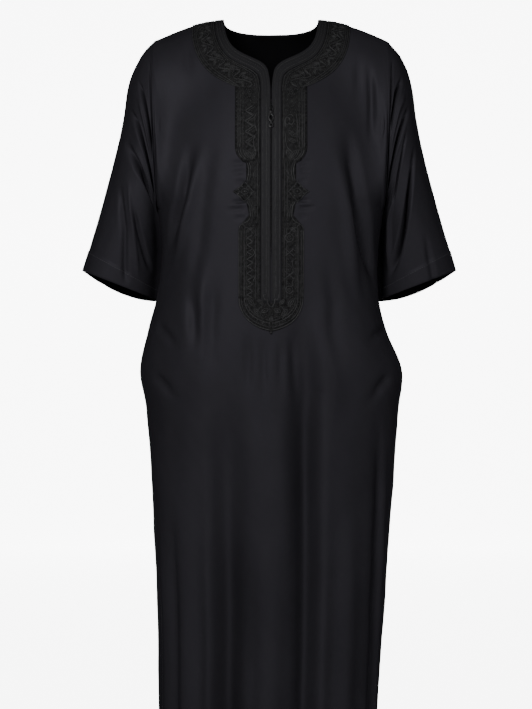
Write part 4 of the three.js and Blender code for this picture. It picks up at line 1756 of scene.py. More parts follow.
@dataclass
class Embroidery:
    """The embroidered breast and neck: a stitched ground with cords, knots and leaves on it."""

    cloth: BodyCloth
    neck: Neckline
    ground_low: float = 0.3
    ground_high: float = 1.1
    grain: float = 4.5
    shoulder_x: float = 142.0
    # the outer edge seen square on: a row of six is a curve that bends towards its last two spots
    edge: tuple[tuple[float, ...], ...] = (
        (142, 12), (142, -34), (64, -130, 138, -82, 112, -112), (64, -240),
        (44, -270, 64, -253, 57, -263), (44, -304), (68, -320), (44, -338), (39, -362),
        (55, -380), (58, -388), (58, -508), (3, -568, 58, -544, 30, -562), (0, -574),
    )

    def outline(self, step: float) -> Array:
        """Half the outer edge.

        Args:
            step: The longest distance between two spots.

        Returns:
            Its spots (x, z), as seen square on.
        """
        spots = [np.array([self.edge[0]], float)]
        for row in self.edge[1:]:
            last = spots[-1][-1]
            if len(row) == 2:
                part = np.array([last, row], float)
            else:
                part = bezier([last, row[2:4], row[4:6], row[:2]], 24)
            spots.append(resample(part, step)[1:])
        path = np.concatenate(spots)
        return path[path[:, 1] <= self.cloth.seam_height(path[:, 0]) + 4]

    def slab(self, name: str, side: Side, loop: Array, node: str) -> Piece:
        """Makes a stitched ground inside a loop.

        Args:
            name: Its name.
            side: The panel that it lies on.
            loop: The loop's spots (x, way down).
            node: The CAD node that it stands for.

        Returns:
            The object.
        """
        grid = self.grid(loop)
        grid[:, 0] += self.grain / 2 * (np.round((grid[:, 1] - grid[0, 1]) / self.grain) % 2)
        spots, tris = fill([loop], grid[self.within(grid, loop, 1.6)], 1e-4)
        lift = self.cloth.lift(side)
        top, out = lift(spots, self.ground_high)
        bottom, _ = lift(spots, self.ground_low)
        faces = plate_faces(facing(top, tris, out), len(spots))
        piece = add_piece(name, np.concatenate([top, bottom]), faces, Finish.GROUND)
        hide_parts(node)
        return piece

    def grid(self, loop: Array) -> Array:
        """Spots in rows and columns, a grain apart, over the whole of a loop."""
        columns = (np.arange(*ends, self.grain) for ends in zip(loop.min(axis=0), loop.max(axis=0)))
        return np.stack(np.meshgrid(*columns), -1).reshape(-1, 2)

    def within(self, spots: Array, loop: Array, margin: float) -> Array:
        """Which spots lie inside a loop, at least a margin from its edge.

        Args:
            spots: The spots.
            loop: The loop.
            margin: The margin.

        Returns:
            True for each spot inside.
        """
        a, d = loop, np.roll(loop, -1, axis=0) - loop
        x, y = spots[:, None, 0] - a[:, 0], spots[:, None, 1] - a[:, 1]
        t = np.clip((x * d[:, 0] + y * d[:, 1]) / np.maximum((d**2).sum(1), 1e-9), 0, 1)
        gap = np.hypot(x - t * d[:, 0], y - t * d[:, 1]).min(axis=1)
        return inside(spots, loop) & (gap > margin)

    def front_loop(self) -> Array:
        """The edge of the front ground.

        Returns:
            Its spots.
        """
        outer = self.cloth.flat(self.outline(3.5))
        outer = outer[np.r_[True, np.hypot(*np.diff(outer, axis=0).T) > 0.3]]
        inner = self.neck.front(self.neck.edging + self.neck.apart, self.neck.slit_end - 11)
        half = np.concatenate([resample(inner, 3.5)[::-1], outer])
        return np.concatenate([half, mirror(Hand.RIGHT)(half)[::-1][1:]])

    def back_loop(self) -> Array:
        """The edge of the ground round the back of the neck."""
        band = self.back_band()
        return np.concatenate([resample(band.inner, 3.5), resample(band.outer, 3.5)[::-1]])

    def front_ground(self) -> Piece:
        """Makes the ground on the front."""
        name = "embroidery_front"
        return self.slab(f"{name}_ground", Side.FRONT, self.front_loop(), name)

    def back_ground(self) -> Piece:
        """Makes the ground round the back of the neck."""
        name = "embroidery_back"
        return self.slab(f"{name}_ground", Side.BACK, self.back_loop(), name)

    def grains(self, work: Needlework, loop: Array, seed: int) -> None:
        """Sews small uneven knots all over a ground, clear of its borders.

        Args:
            work: The needlework they join.
            loop: The ground's edge.
            seed: What the unevenness starts from.
        """
        chance = np.random.default_rng(seed)
        spots = self.grid(loop)
        spots = spots + chance.uniform(-1.5, 1.5, spots.shape)
        keep = self.within(spots, loop, 7.0) & (chance.random(len(spots)) < 0.75)
        for spot, radius in zip(spots[keep], chance.uniform(0.55, 1.1, keep.sum())):
            work.bead(spot, radius, 1.25)

    def front_band(self) -> Band:
        """The left half of the neck band on the front.

        Returns:
            The band.
        """
        inner = self.neck.front(self.neck.edging + self.neck.apart, self.neck.slit_top)[:86]
        outline = self.outline(2.0)
        outer = self.cloth.flat(outline[: np.argmax(outline[:, 1] <= -130) + 1])
        return Band(resample(inner, 1.0), resample(outer, 1.0))

    def back_band(self) -> Band:
        """The band round the back of the neck."""
        return Band(self.neck.back(103.6, 34.6), self.neck.back(self.shoulder_x, 78.0))

    def vine(self, work: Needlework, band: Band, waves: float, start: float) -> None:
        """Lays a running vine with leaves and knots along a band, and its border cords.

        Args:
            work: What it is laid on.
            band: The band.
            waves: How many waves it makes.
            start: Where along the band it starts.
        """
        at, middle = band.at, 0.47
        t = np.linspace(0, 1, 160)
        for across, radius in ((0.975, 0.7), (0.9, 0.55), (0.82, 0.7), (0.045, 0.65), (0.125, 0.5)):
            work.cord(at(t, across), radius)
        work.row(at(t, 0.86), 5.2, 0.6)
        t = np.linspace(start, 0.985, 200)
        phase = 2 * math.pi * waves * (t - start)
        work.cord(at(t, middle + 0.19 * np.sin(phase)), 0.75)
        work.row(at(t, middle + 0.27 * np.sin(phase + 0.5)), 6.3, 0.95)
        for across in (0.2, 0.75):
            work.row(at(t, across), 4.6, 0.8)
        step = 0.32 / waves
        for i in range(int(waves * 2 * (1 - start))):
            here, side = start + (i + 0.5) / (2 * waves), 1 - 2 * (i % 2)
            work.bead(at(here, middle + 0.02 * side), 1.5, 1.6)
            root = at(here - step * 0.4, middle - 0.02 * side)
            for reach, wide in ((0.9, 3.2), (-0.6, 2.6)):
                work.leaf(root, at(here + step * reach, middle - 0.25 * side), wide, 0.5)
            work.bead(at(here, middle + 0.29 * side), 0.9)

    def plate(self, work: Needlework, hand: Hand) -> None:
        """Lays the upper plate beside the slit.

        Args:
            work: What it is laid on, with the left hand's spots as they are seen square on.
            hand: The side of the slit.
        """
        for x, radius in ((58.6, 0.7), (55.0, 0.7), (49.8, 0.5)):
            work.cord([(x, -136), (x, -190), (x, -243)], radius)
            work.curve([(x, -243), (x - 1, -254), (x - 6, -260), (x - 14, -264)], radius)
        work.row([(61.9, -140), (61.9, -246)], 4.4, 0.95)
        work.cord([(22.6, -140), (22.6, -200), (22.6, -262)], 0.6)
        if hand is Hand.RIGHT:
            zig = zigzag(39, 7, -166, 9.4, 9)
            work.cord(zig, 0.85)
            work.cord(zig - (4.6, 1), 0.5)
            for x, z in zig[1:-1]:
                work.bead((39 - (x - 39) * 0.75, z), 1.1)
            work.rosette((38, -141), 6.4, 6, 1.0)
            work.bead((36, -158), 1.7, 1.6)
            work.curve([(24, -178), (31, -182), (30, -205), (24, -214)], 0.6)
            work.curve([(25, -216), (34, -222), (33, -240), (26, -250)], 0.6)
        else:
            work.rosette((36, -141), 6.4, 6, 1.0)
            for z in (-158, -166, -174):
                work.bead((40 - (z + 166) * 0.35, z), 1.3)
                work.bead((30 + (z + 166) * 0.5, z), 1.0)
            work.curve([(26, -206), (20, -186), (36, -176), (40, -188)], 0.8)
            work.curve([(40, -188), (43, -200), (34, -204), (31, -197)], 0.8)
            work.ring((28.5, -194), 4.6, 0.6)
            work.curve([(44, -180), (49, -200), (44, -214), (47, -232)], 0.7)
            work.leaf((30, -212), (44, -222), 4.5, 0.6)
            work.leaf((44, -232), (30, -226), 4.5, 0.6)
            work.curve([(26, -216), (24, -232), (28, -246), (38, -250)], 0.7)
            for z in (-212, -222, -232, -242):
                work.bead((50 - 0.12 * (z + 227), z), 0.9)
        work.leaf((46, -246), (32, -262), 5.5, 0.7)
        work.leaf((27, -246), (36, -264), 5.5, 0.7)
        work.bead((41, -264), 1.5)
        work.bead((49, -256), 1.2)

    def waist(self, work: Needlework) -> None:
        """Lays the narrow waist with its openwork rosette.

        Args:
            work: What it is laid on, with the left hand's spots as they are seen square on.
        """
        for shift, radius in ((0, 0.75), (3.6, 0.55)):
            for ends in (
                [(43, -268), (38, -278), (39, -290), (43, -302)],
                [(43, -337), (36, -346), (38, -356), (36, -366)],
            ):
                work.curve(np.array(ends) - (shift, 0), radius)
        work.rosette((46.5, -320), 12.5, 8, 1.9)
        for spot in ((46.5, -301), (46.5, -339), (65.5, -320), (30.5, -320)):
            work.bead(spot, 1.6)
        for ends in pairwise([(46.5, -303), (64, -320), (46.5, -337), (31, -320), (46.5, -303)]):
            work.cord(ends, 0.65)
        for x in (24, 28.5):
            work.cord([(x, -266), (x, -312), (x, -366)], 0.45)
        work.curve([(24, -280), (33, -284), (34, -296), (27, -300)], 0.5)
        work.curve([(24, -344), (32, -346), (34, -356), (27, -362)], 0.5)
        work.row([(20.5, -268), (20.5, -372)], 6.0, 0.7)

    def foot(self, work: Needlework, hand: Hand) -> None:
        """Lays the long foot with its round end.

        Args:
            work: What it is laid on, with the left hand's spots as they are seen square on.
            hand: The side of the slit.
        """
        round_z = -508  # where the round end starts
        for x, radius, low in (
            (56.8, 0.85, -566), (53.2, 0.6, -561), (47.6, 0.8, -554), (44.2, 0.45, -549)
        ):
            work.cord([(x, -388), (x, -450), (x, round_z)], radius)
            bend = round_z + (low - round_z) * 0.62
            work.curve([(x, round_z), (x, bend), (x * 0.52, low + 5), (1.5, low)], radius)
        work.curve([(56.8, -388), (57, -376), (47, -376), (46, -384)], 0.8)
        work.curve([(37, -366), (41, -377), (50, -374), (56, -382)], 0.8)
        work.curve([(47.6, -388), (46, -380), (38, -384), (31, -396)], 0.7)
        work.leaf((45, -392), (33, -384), 4.5, 0.6)
        for x in (23.2, 27.6):
            work.cord([(x, -384), (x, -450), (x, -510)], 0.45)
        work.row([(20.8, -384), (20.8, -512)], 5.0, 0.7)
        if hand is Hand.RIGHT:
            zig = zigzag(37.5, 5.4, -396, 6.3, 19)
            work.cord(zig, 0.85)
            work.row(pair(37.5 - (zig[:, 0] - 37.5) * 0.7, zig[:, 1]), 6.6, 0.85)
            crosses = ((-428, 26, 32, 6, 0.7), (-474, 26, 32, 6, 0.7))
        else:
            for z, radius in ((-402, 7.5), (-494, 6.5)):
                work.ring((32, z), radius, 0.8)
                work.ring((32, z), radius * 0.45, 0.6)
                work.bead((32, z), 1.2)
            crosses = ((-428, 24, 41, 7, 0.8), (-468, 24, 41, 7, 0.8))
            for spot in zigzag(33, 2.6, -440, 4.6, 5):
                work.bead(spot, 1.2)
            work.curve([(40, -440), (34, -446), (42, -452), (38, -462)], 0.6)
            work.curve([(41, -476), (33, -480), (43, -486), (36, -488)], 0.6)
            work.row([(41.5, -392), (41.5, -505)], 8.5, 0.8)
        for z, near, far, high, radius in crosses:
            work.cord([(near, z - high), (far, z + high)], radius)
            work.cord([(near, z + high), (far, z - high)], radius)
        for root, tip, wide, radius in (
            ((41, -508), (30, -524), 6, 0.7),
            ((24, -512), (14, -520), 5, 0.7),
            ((5, -528), (17, -534), 6.5, 0.8),
            ((30, -528), (18, -541), 6, 0.7),
        ):
            work.leaf(root, tip, wide, radius)
        work.curve([(14, -522), (24, -526), (27, -538), (20, -545)], 0.6)
        work.curve([(7, -509), (7, -520), (3, -524), (0, -525)], 0.9, 1.5)
        work.curve([(7, -512), (12, -514), (14, -508), (13, -502)], 0.6)
        work.bead((9, -542), 1.5)
        for i in range(13):
            turn = math.radians(8 + 6.6 * i)
            x, z = 50.4 * math.cos(turn) ** 0.9, round_z - 50 * math.sin(turn)
            work.bead((x, z), 1.05)
            if i % 2 == 0:
                work.cord([(x * 0.97, z + 1.5), (x * 0.86, z + 7)], 0.6)

    def front_needlework(self) -> Piece:
        """Lays all the cords, knots and leaves of the front.

        Returns:
            The object.
        """
        work = Needlework(self.cloth.lift(Side.FRONT))
        band = self.front_band()
        for hand, start in ((Hand.RIGHT, 0.22), (Hand.LEFT, 0.2)):
            here = mirror(hand)
            half = work.drawn(here)
            self.vine(half, band, 6.5, start)
            half.rosette(band.at(0.12, 0.47), 8.5, 8, 1.2)
            for along, across in ((0.05, 0.3), (0.05, 0.62), (0.19, 0.3), (0.19, 0.64)):
                tip = band.at(along + 0.03, across + 0.12)
                half.leaf(band.at(along, across), tip, 3.5, 0.6)

            def seen(spots: Sequence[Spot] | Array, here: Draw = here) -> Array:
                """Spots seen square on, on this hand."""
                return here(self.cloth.flat(spots))

            half = work.drawn(seen)
            self.plate(half, hand)
            self.waist(half)
            self.foot(half, hand)
        self.grains(work, self.front_loop(), 11)
        root, tip, end = self.cloth.flat([(0, -541), (0, -551), (0, -570)])
        work.leaf(root, tip, 5, 0.8)
        work.bead(end, 2.2, 1.6)
        return work.sew("embroidery_front_cords", Finish.CORD)

    def back_needlework(self) -> Piece:
        """Lays the cords, knots and leaves round the back of the neck.

        Returns:
            The object.
        """
        work = Needlework(self.cloth.lift(Side.BACK))
        self.vine(work, self.back_band(), 11.0, 0.015)
        self.grains(work, self.back_loop(), 12)
        return work.sew("embroidery_back_cords", Finish.CORD)


# ---- the zip ----


@dataclass
class Zip:
    """The zip in the slit: tapes, teeth, slider and an openwork pull."""

    cloth: BodyCloth
    neck: Neckline
    tape: tuple[float, float, float, float] = (0.9, 13.0, -1.7, 1.0)  # near, far, high, thick
    top: float = -150.0
    end: float = -520.0
    pitch: float = 1.5
    # the pull's hinge, the way out of the cloth there and the way up it
    hinge: tuple[float, float, float] = (0.0, -116.98, -171.42)
    out: tuple[float, float, float] = (0.0, -0.96928, 0.24594)
    along: tuple[float, float, float] = (0.0, 0.24594, 0.96928)
    hinge_out: float = 4.4  # how high the hinge stands over the slider's middle
    loop_radius: float = 2.25
    # the slider's upper and lower plate: bottom, top, half width
    plates: tuple[tuple[float, float, float], ...] = ((1.75, 3.2, 3.5), (-4.2, -3.0, 3.0))
    pull_half: float = 0.8  # half the pull's thickness
    # the pull's raised knobs: x, y, radius, how high for its width
    knobs: tuple[tuple[float, float, float, float], ...] = (
        (0, -6.6, 2.0, 0.8), (0, -23.6, 1.9, 0.8), (0, -25.9, 1.5, 0.7), (0, -33.6, 1.4, 0.7),
        (-3.9, -16.4, 0.9, 0.8), (3.9, -16.4, 0.9, 0.8),
    )

    def tapes(self, hand: Hand) -> Piece:
        """Makes one tape, behind the slit's edge.

        Args:
            hand: The side of the slit.

        Returns:
            The object.
        """
        near, far, high, thick = self.tape
        lift = self.cloth.lift(Side.FRONT)
        section = [(near, high), (near, high - thick)]
        section += [(x, high - thick) for x in (3, 7, 11, far)]
        section += [(x, high) for x in (far, 11, 7, 3)]
        down = np.linspace(*self.cloth.down_at(np.zeros(2), np.array([self.top, self.end])), 80)
        rows = [lift(mirror(hand)(pair(x, down)), height)[0] for x, height in section]
        rings = np.stack(rows, axis=1)
        faces = rod(rings)
        faces = faces if hand is Hand.RIGHT else [face[::-1] for face in faces]
        name = f"zip_tape_{hand.word}_weave"
        piece = add_piece(name, rings.reshape(-1, 3), faces, Finish.TAPE)
        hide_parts(f"zip_tape_{hand.word}")
        return piece

    def teeth(self) -> Piece:
        """Makes the closed row of teeth, left and right by turns.

        Returns:
            The object.
        """
        ends = self.cloth.down_at(np.zeros(2), np.array([self.top - 4, self.end + 8]))
        count = int(abs(ends[1] - ends[0]) / self.pitch)
        down = np.linspace(*ends, count)
        side = 0.35 * (1 - 2 * (np.arange(count) % 2))
        corners = np.array([(-0.92, 0.558), (0.92, 0.558), (0.92, -0.558), (-0.92, -0.558)])
        lift = self.cloth.lift(Side.FRONT)
        points = []
        for low, grow in ((-2.9, 1.0), (-0.9, 1.0), (-0.45, 0.6)):
            for x, d in corners * grow:
                points.append(lift(pair(side + x, down + d), low)[0])
        made = Mass()
        for tooth in np.stack(points, axis=1).reshape(count, 3, 4, 3):
            made.add(tooth, rod(tooth))
        return add_piece("zip_teeth", made.points, made.faces, Finish.METAL)

    def local(self, points: Array) -> Array:
        """Points on the slider's own axes, in the garment's frame.

        Args:
            points: The points, as x, up the cloth and out of it.

        Returns:
            The points.
        """
        place = np.array(self.hinge) - np.array(self.out) * self.hinge_out
        return place + points @ np.array([(1, 0, 0), self.along, self.out])

    def slider(self) -> Piece:
        """Makes the slider: a waisted plate with rounded edges, a heel, a stem and a loop.

        Returns:
            The object.
        """
        made = Mass()
        turn = around(40)
        shape_x, shape_y = bent(np.cos(turn), 0.55), 6 * bent(np.sin(turn), 0.55)
        for low, high, half in self.plates:
            rings = []
            for level, grow in (
                (low, 0.86), (low + 0.3, 0.98), (high - 0.4, 1.0), (high - 0.1, 0.9), (high, 0.72)
            ):
                y = shape_y * grow
                waisted = 1 + 0.18 * np.tanh(y / 3) - 0.1 * np.exp(-((y / 2.4) ** 2))
                x = np.clip(half * shape_x * grow * waisted, -3.6, 3.6)
                rings.append(np.stack(np.broadcast_arrays(x, y, level), 1))
            made.add(np.array(rings), rod(np.array(rings)))
        corners = ((0.6, 4.8), (-0.6, 4.8), (-0.6, -4.8), (0.6, -4.8))
        stem = np.array([[(*corner, z) for corner in corners] for z in (-3.4, 2.2)])
        made.add(stem, rod(stem))
        arch = np.linspace(-0.25, math.pi + 0.25, 22)[:, None, None]
        spoke = np.concatenate([0 * arch, np.cos(arch), np.sin(arch)], axis=2)
        centre = self.loop_radius * spoke * (1, 1, 0.95) + (0, 0, self.hinge_out - 0.15)
        ring = around(10)[:, None]
        loop = centre + 0.75 * np.cos(ring) * spoke + 0.8 * np.sin(ring) * (1, 0, 0)
        loop[..., 2] = np.maximum(loop[..., 2], 2.9)
        made.add(loop, rod(loop))
        points = self.local(made.points)
        piece = add_piece("zip_slider_body", points, made.faces, Finish.METAL)
        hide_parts("zip_slider")
        return piece

    def pull_outline(self) -> list[Array]:
        """The pull's outline and then its holes, on its own flat axes.

        Returns:
            The loops.
        """
        tip = [(0, -35.5)]
        parts = [
            [(3.4, 0.8), (3.5, -1), (3.4, -3), (3.4, -5.4)],
            [(3.4, -5.4), (2.2, -8.4), (5.4, -12), (5, -16.5)],
            [(5, -16.5), (4.6, -21), (1.4, -23.4), (1.5, -25.4)],
            [(1.5, -25.4), (5.4, -27.5), (5, -34.5), *tip],
        ]
        other = mirror(Hand.RIGHT)
        half = np.concatenate([bezier(part, 12)[:-1] for part in parts] + [tip])
        outline = np.concatenate([half, other(half)[::-1][1:]])
        edge = [(2.0, -0.8), (2.0, -2.5), (2.0, -4.3)]
        eye = np.concatenate([edge, other(edge)[::-1]])
        low = [(0, -21.5)]
        parts = [
            [(0, -10.5), (1.2, -13), (3, -14.5), (2.8, -16.5)],
            [(2.8, -16.5), (2.6, -18.8), (1, -20), *low],
        ]
        half = np.concatenate([bezier(part, 9)[:-1] for part in parts])
        drop = np.concatenate([half, low, other(half[1:])[::-1]])
        turn = around(18)
        eyelet = pair(1.7 * np.cos(turn), -30.2 + 1.7 * np.sin(turn))
        return [outline, eye, drop, eyelet]

    def pull(self) -> Piece:
        """Makes the pull: a pierced plate with rounded edges and raised knobs.

        Returns:
            The object.
        """
        spots, tris = fill(self.pull_outline(), np.empty((0, 2)), 1e-5)
        flat = np.pad(spots, ((0, 0), (0, 1)))
        tris = facing(flat, tris, np.tile([0.0, 0.0, 1.0], (len(spots), 1)))
        high = self.hinge_out + self.pull_half
        plate = [flat + (0, 0, z) for z in (high, self.hinge_out - self.pull_half)]
        made = Mass()
        made.add(np.concatenate(plate), plate_faces(tris, len(spots)))
        turn = around(14)[:, None]
        tilt = np.linspace(0, 1.5, 6)[:, None, None]
        dome = np.concatenate([np.cos(turn), np.sin(turn), 0.5 + 0 * turn], axis=1)
        dome = dome * np.concatenate([np.cos(tilt), np.cos(tilt), np.sin(tilt)], axis=2)
        for x, y, radius, squash in self.knobs:
            rings = dome * (radius, radius, radius * squash) + (x, y, high - 0.1)
            made.add(rings, rod(rings))
        points = self.local(made.points)
        piece = add_piece("zip_pull_tab", points, made.faces, Finish.METAL, "pull")
        rim = piece.modifiers.new("rounded_edges", "BEVEL")
        rim.width = 0.35 * MM
        rim.segments = 2
        rim.limit_method = "ANGLE"
        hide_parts("zip_pull")
        return piece


# ---- the folds of this garment ----


def body_folds(cloth: BodyCloth) -> list[Fold]:
    """Every crease of the body, as it hangs.

    Args:
        cloth: The surface, for its chart.

    Returns:
        The folds.
    """
    past = -1560.0  # below the hem, for a fold that runs out there
    front = [
        # path seen from the front, width, depth, grow, fade, lean
        (((-79, -560), (-80, -760), (-81, -1000), (-81, past)), 31, -38, 0.5, 0, 0.2),
        (((61, -440), (62, -720), (65, -1000), (66, past)), 25, -36, 0.35, 0, -0.2),
        (((102, -500), (104, -620), (106, -790)), 18, 4, 0.4, 0.5),
        (((193, -690), (196, -860), (189, -1100), (184, past)), 12, -12, 0.3, 0, -0.3),
        (((-203, -800), (-196, -1000), (-190, past)), 12, 3, 0.4, 0),
        (((-180, -820), (-176, -1000), (-172, past)), 13, -8, 0.4, 0),
        (((-141, -225), (-160, -330), (-186, -430)), 12, -13, 0.4, 0.35, 0.2),
        (((-124, -225), (-150, -350), (-180, -460)), 10, 7, 0.4, 0.4),
        (((-100, -200), (-128, -400), (-160, -560)), 17, -5, 0.4, 0.5),
        (((133, -200), (158, -330), (188, -500)), 14, -14, 0.3, 0.35, -0.2),
        (((140, -310), (163, -400), (184, -475)), 9, -8, 0.4, 0.3),
        (((116, -240), (140, -370), (165, -540)), 14, 6, 0.4, 0.4),
        (((-152, -38), (-150, -76), (-143, -118)), 9, -3, 0.4, 0.5),
        (((158, -62), (157, -110), (155, -165)), 9, -3.5, 0.4, 0.5, 0.2),
        (((176, -74), (180, -150), (180, -245)), 9, -8, 0.4, 0.5, 0.2),
        (((-14, -578), (-13, -640), (-12, -710)), 7, -4, 0.3, 0.6),
        (((16, -578), (16, -640), (17, -700)), 7, -4, 0.3, 0.6),
        (((38, -566), (40, -640), (42, -730)), 8, -4.5, 0.3, 0.6),
        (((-40, -566), (-41, -630), (-42, -700)), 8, -3.5, 0.3, 0.6),
        (((-143, -480), (-137, -540), (-130, -620)), 13, -6, 0.4, 0.5),
        (((-96, -450), (-106, -540), (-112, -680)), 15, -5, 0.4, 0.5),
        (((-122, -440), (-122, -540), (-124, -650)), 12, 4, 0.4, 0.5),
        (((100, -420), (112, -520), (118, -650)), 16, -5, 0.4, 0.5),
        (((-206, -552), (-186, -574), (-160, -604)), 8, -5, 0.3, 0.6),
        (((-214, -640), (-190, -664), (-158, -700)), 10, -6, 0.3, 0.6),
        (((208, -552), (190, -572), (166, -596)), 8, -5, 0.3, 0.6),
        (((218, -640), (196, -666), (164, -706)), 10, -6, 0.3, 0.6),
        (((0, -760), (-2, -1000), (-2, past)), 28, 6, 0.5, 0),
        (((112, -740), (114, -1000), (112, past)), 22, -6, 0.5, 0),
        (((140, -800), (141, -1000), (138, past)), 18, 5, 0.5, 0),
        (((-127, -700), (-128, -1000), (-126, past)), 20, -6, 0.5, 0),
        (((-112, -720), (-112, -1000), (-112, past)), 14, 4, 0.5, 0),
        (((24, -900), (26, -1150), (27, past)), 17, -4, 0.5, 0),
        (((-34, -860), (-33, -1150), (-30, past)), 15, -3.5, 0.5, 0),
    ]
    # the small pleats beside the narrow waist of the embroidery: z, length, depth
    for z, long, depth in (
        (-269, 34, -4.68), (-284, 28, -3.96), (-303, 20, -2.88),
        (-337, 24, -3.96), (-350, 36, -4.68), (-366, 22, -2.88),
    ):
        for path in (
            ((-47, z), (-60, z - 1), (-47 - long, z - 3)),
            ((49, z + 2), (60, z + 1), (47 + long, z + 4)),
        ):
            front.append((path, 3.8, depth, 0.15, 0.7, 0))
    back = [
        (((70, -380), (80, -700), (85, -1000), (84, past)), 19, -15, 0.4, 0, 0.2),
        (((-80, -350), (-88, -700), (-93, -1000), (-92, past)), 20, -13, 0.4, 0, -0.15),
        (((168, -620), (170, -900), (168, past)), 16, -11, 0.4, 0),
        (((-172, -680), (-174, -900), (-173, past)), 16, -12, 0.4, 0, 0.2),
        (((0, -430), (-3, -800), (-4, past)), 20, 8, 0.4, 0),
        (((34, -300), (42, -450), (46, -640)), 12, -6, 0.4, 0.4),
        (((-42, -270), (-34, -420), (-30, -560)), 12, -6, 0.4, 0.4),
        (((-132, -780), (-130, -1050), (-128, past)), 15, -6, 0.5, 0),
        (((126, -860), (124, -1100), (122, past)), 14, -5, 0.5, 0),
        (((40, -880), (43, -1100), (45, past)), 14, -5, 0.5, 0),
        (((-46, -940), (-49, -1200), (-52, past)), 15, -4, 0.5, 0),
        (((148, -130), (166, -220), (184, -350)), 12, -9, 0.4, 0.4, 0.2),
        (((-150, -150), (-168, -240), (-186, -370)), 12, -8, 0.4, 0.4),
        (((118, -130), (136, -260), (150, -400)), 12, 5, 0.4, 0.4),
        (((-112, -120), (-130, -250), (-150, -420)), 13, -5, 0.4, 0.4),
        (((-62, -92), (0, -104), (66, -94)), 9, -3, 0.4, 0.4),
        (((100, -420), (112, -560), (118, -760)), 14, -6, 0.4, 0.5),
        (((-120, -430), (-128, -560), (-130, -700)), 13, -5, 0.4, 0.5),
    ]
    folds = [Fold(cloth.seen(Side.FRONT, row[0]), *row[1:]) for row in front]
    folds += [Fold(cloth.seen(Side.BACK, row[0]), *row[1:]) for row in back]
    return folds


def sleeve_folds(hand: Hand) -> tuple[Fold, ...]:
    """The creases of one sleeve.

    Args:
        hand: Which sleeve.

    Returns:
        The folds, on the sleeve's chart.
    """
    # degrees from the outer fold round the front, share of the way to the hem
    right = [
        (((34, 0.055), (95, 0.05), (168, 0.06)), 6, -8, 0.2, 0.15),
        (((42, 0.22), (74, 0.14), (113, 0.06)), 7, -18, 0.4, 0.3, 0.2),
        (((50, 0.27), (80, 0.20), (116, 0.12)), 8, 4, 0.4, 0.4),
        (((44, 0.40), (84, 0.29), (140, 0.15)), 8.5, -27, 0.45, 0.2, 0.25),
        (((40, 0.55), (76, 0.50), (134, 0.34)), 11, -19, 0.45, 0.4),
        (((50, 0.68), (80, 0.80), (101, 1.0)), 9, -8, 0.3, 0.2),
        (((85, 0.68), (110, 0.76), (138, 0.87)), 9, -9, 0.3, 0.3, 0.2),
        (((66, 0.62), (92, 0.76), (118, 0.95)), 8, 5, 0.3, 0.3),
        (((156, 0.12), (164, 0.50), (166, 1.05)), 22, 12, 0.35, 0.1),
    ]
    left = [
        (((34, 0.055), (95, 0.05), (168, 0.06)), 6, -8, 0.2, 0.15),
        (((42, 0.21), (66, 0.12), (95, 0.06)), 7, -18, 0.4, 0.3, 0.2),
        (((48, 0.37), (90, 0.25), (136, 0.12)), 8.5, -27, 0.45, 0.2, 0.25),
        (((46, 0.29), (70, 0.20), (104, 0.12)), 8, 4, 0.4, 0.4),
        (((46, 0.53), (80, 0.68), (132, 0.92)), 9.5, -22, 0.4, 0.3, -0.1),
        (((104, 0.40), (124, 0.60), (132, 0.92)), 8, 7, 0.3, 0.3),
        (((62, 0.84), (66, 0.95), (70, 1.08)), 9, -4, 0.4, 0),
        (((156, 0.12), (164, 0.50), (166, 1.05)), 22, 13, 0.35, 0.1),
        (((60, 0.40), (96, 0.44), (128, 0.56)), 10, -6, 0.3, 0.4),
    ]
    behind = [
        (((300, 0.05), (268, 0.40), (236, 0.72)), 15, -13, 0.3, 0.3, 0.2),
        (((262, 0.10), (238, 0.50), (214, 0.86)), 13, -9, 0.3, 0.3),
        (((322, 0.28), (308, 0.60), (298, 1.05)), 12, -6, 0.4, 0),
        (((252, 0.66), (246, 0.85), (240, 1.08)), 11, -6, 0.4, 0),
        (((286, 0.30), (262, 0.56), (244, 0.8)), 9, 5, 0.4, 0.4),
        (((205, 0.15), (200, 0.5), (202, 0.9)), 12, -6, 0.4, 0.3),
    ]
    shift = 6 if hand is Hand.LEFT else 0
    folds = []
    for path, *rest in (right if hand is Hand.RIGHT else left) + behind:
        turn = shift if path[0][0] > 180 else 0
        line = tuple(((a + turn) * SleeveCloth.degree, b * SleeveCloth.long) for a, b in path)
        folds.append(Fold(line, *rest))
    return tuple(folds)


# ---- the studio ----


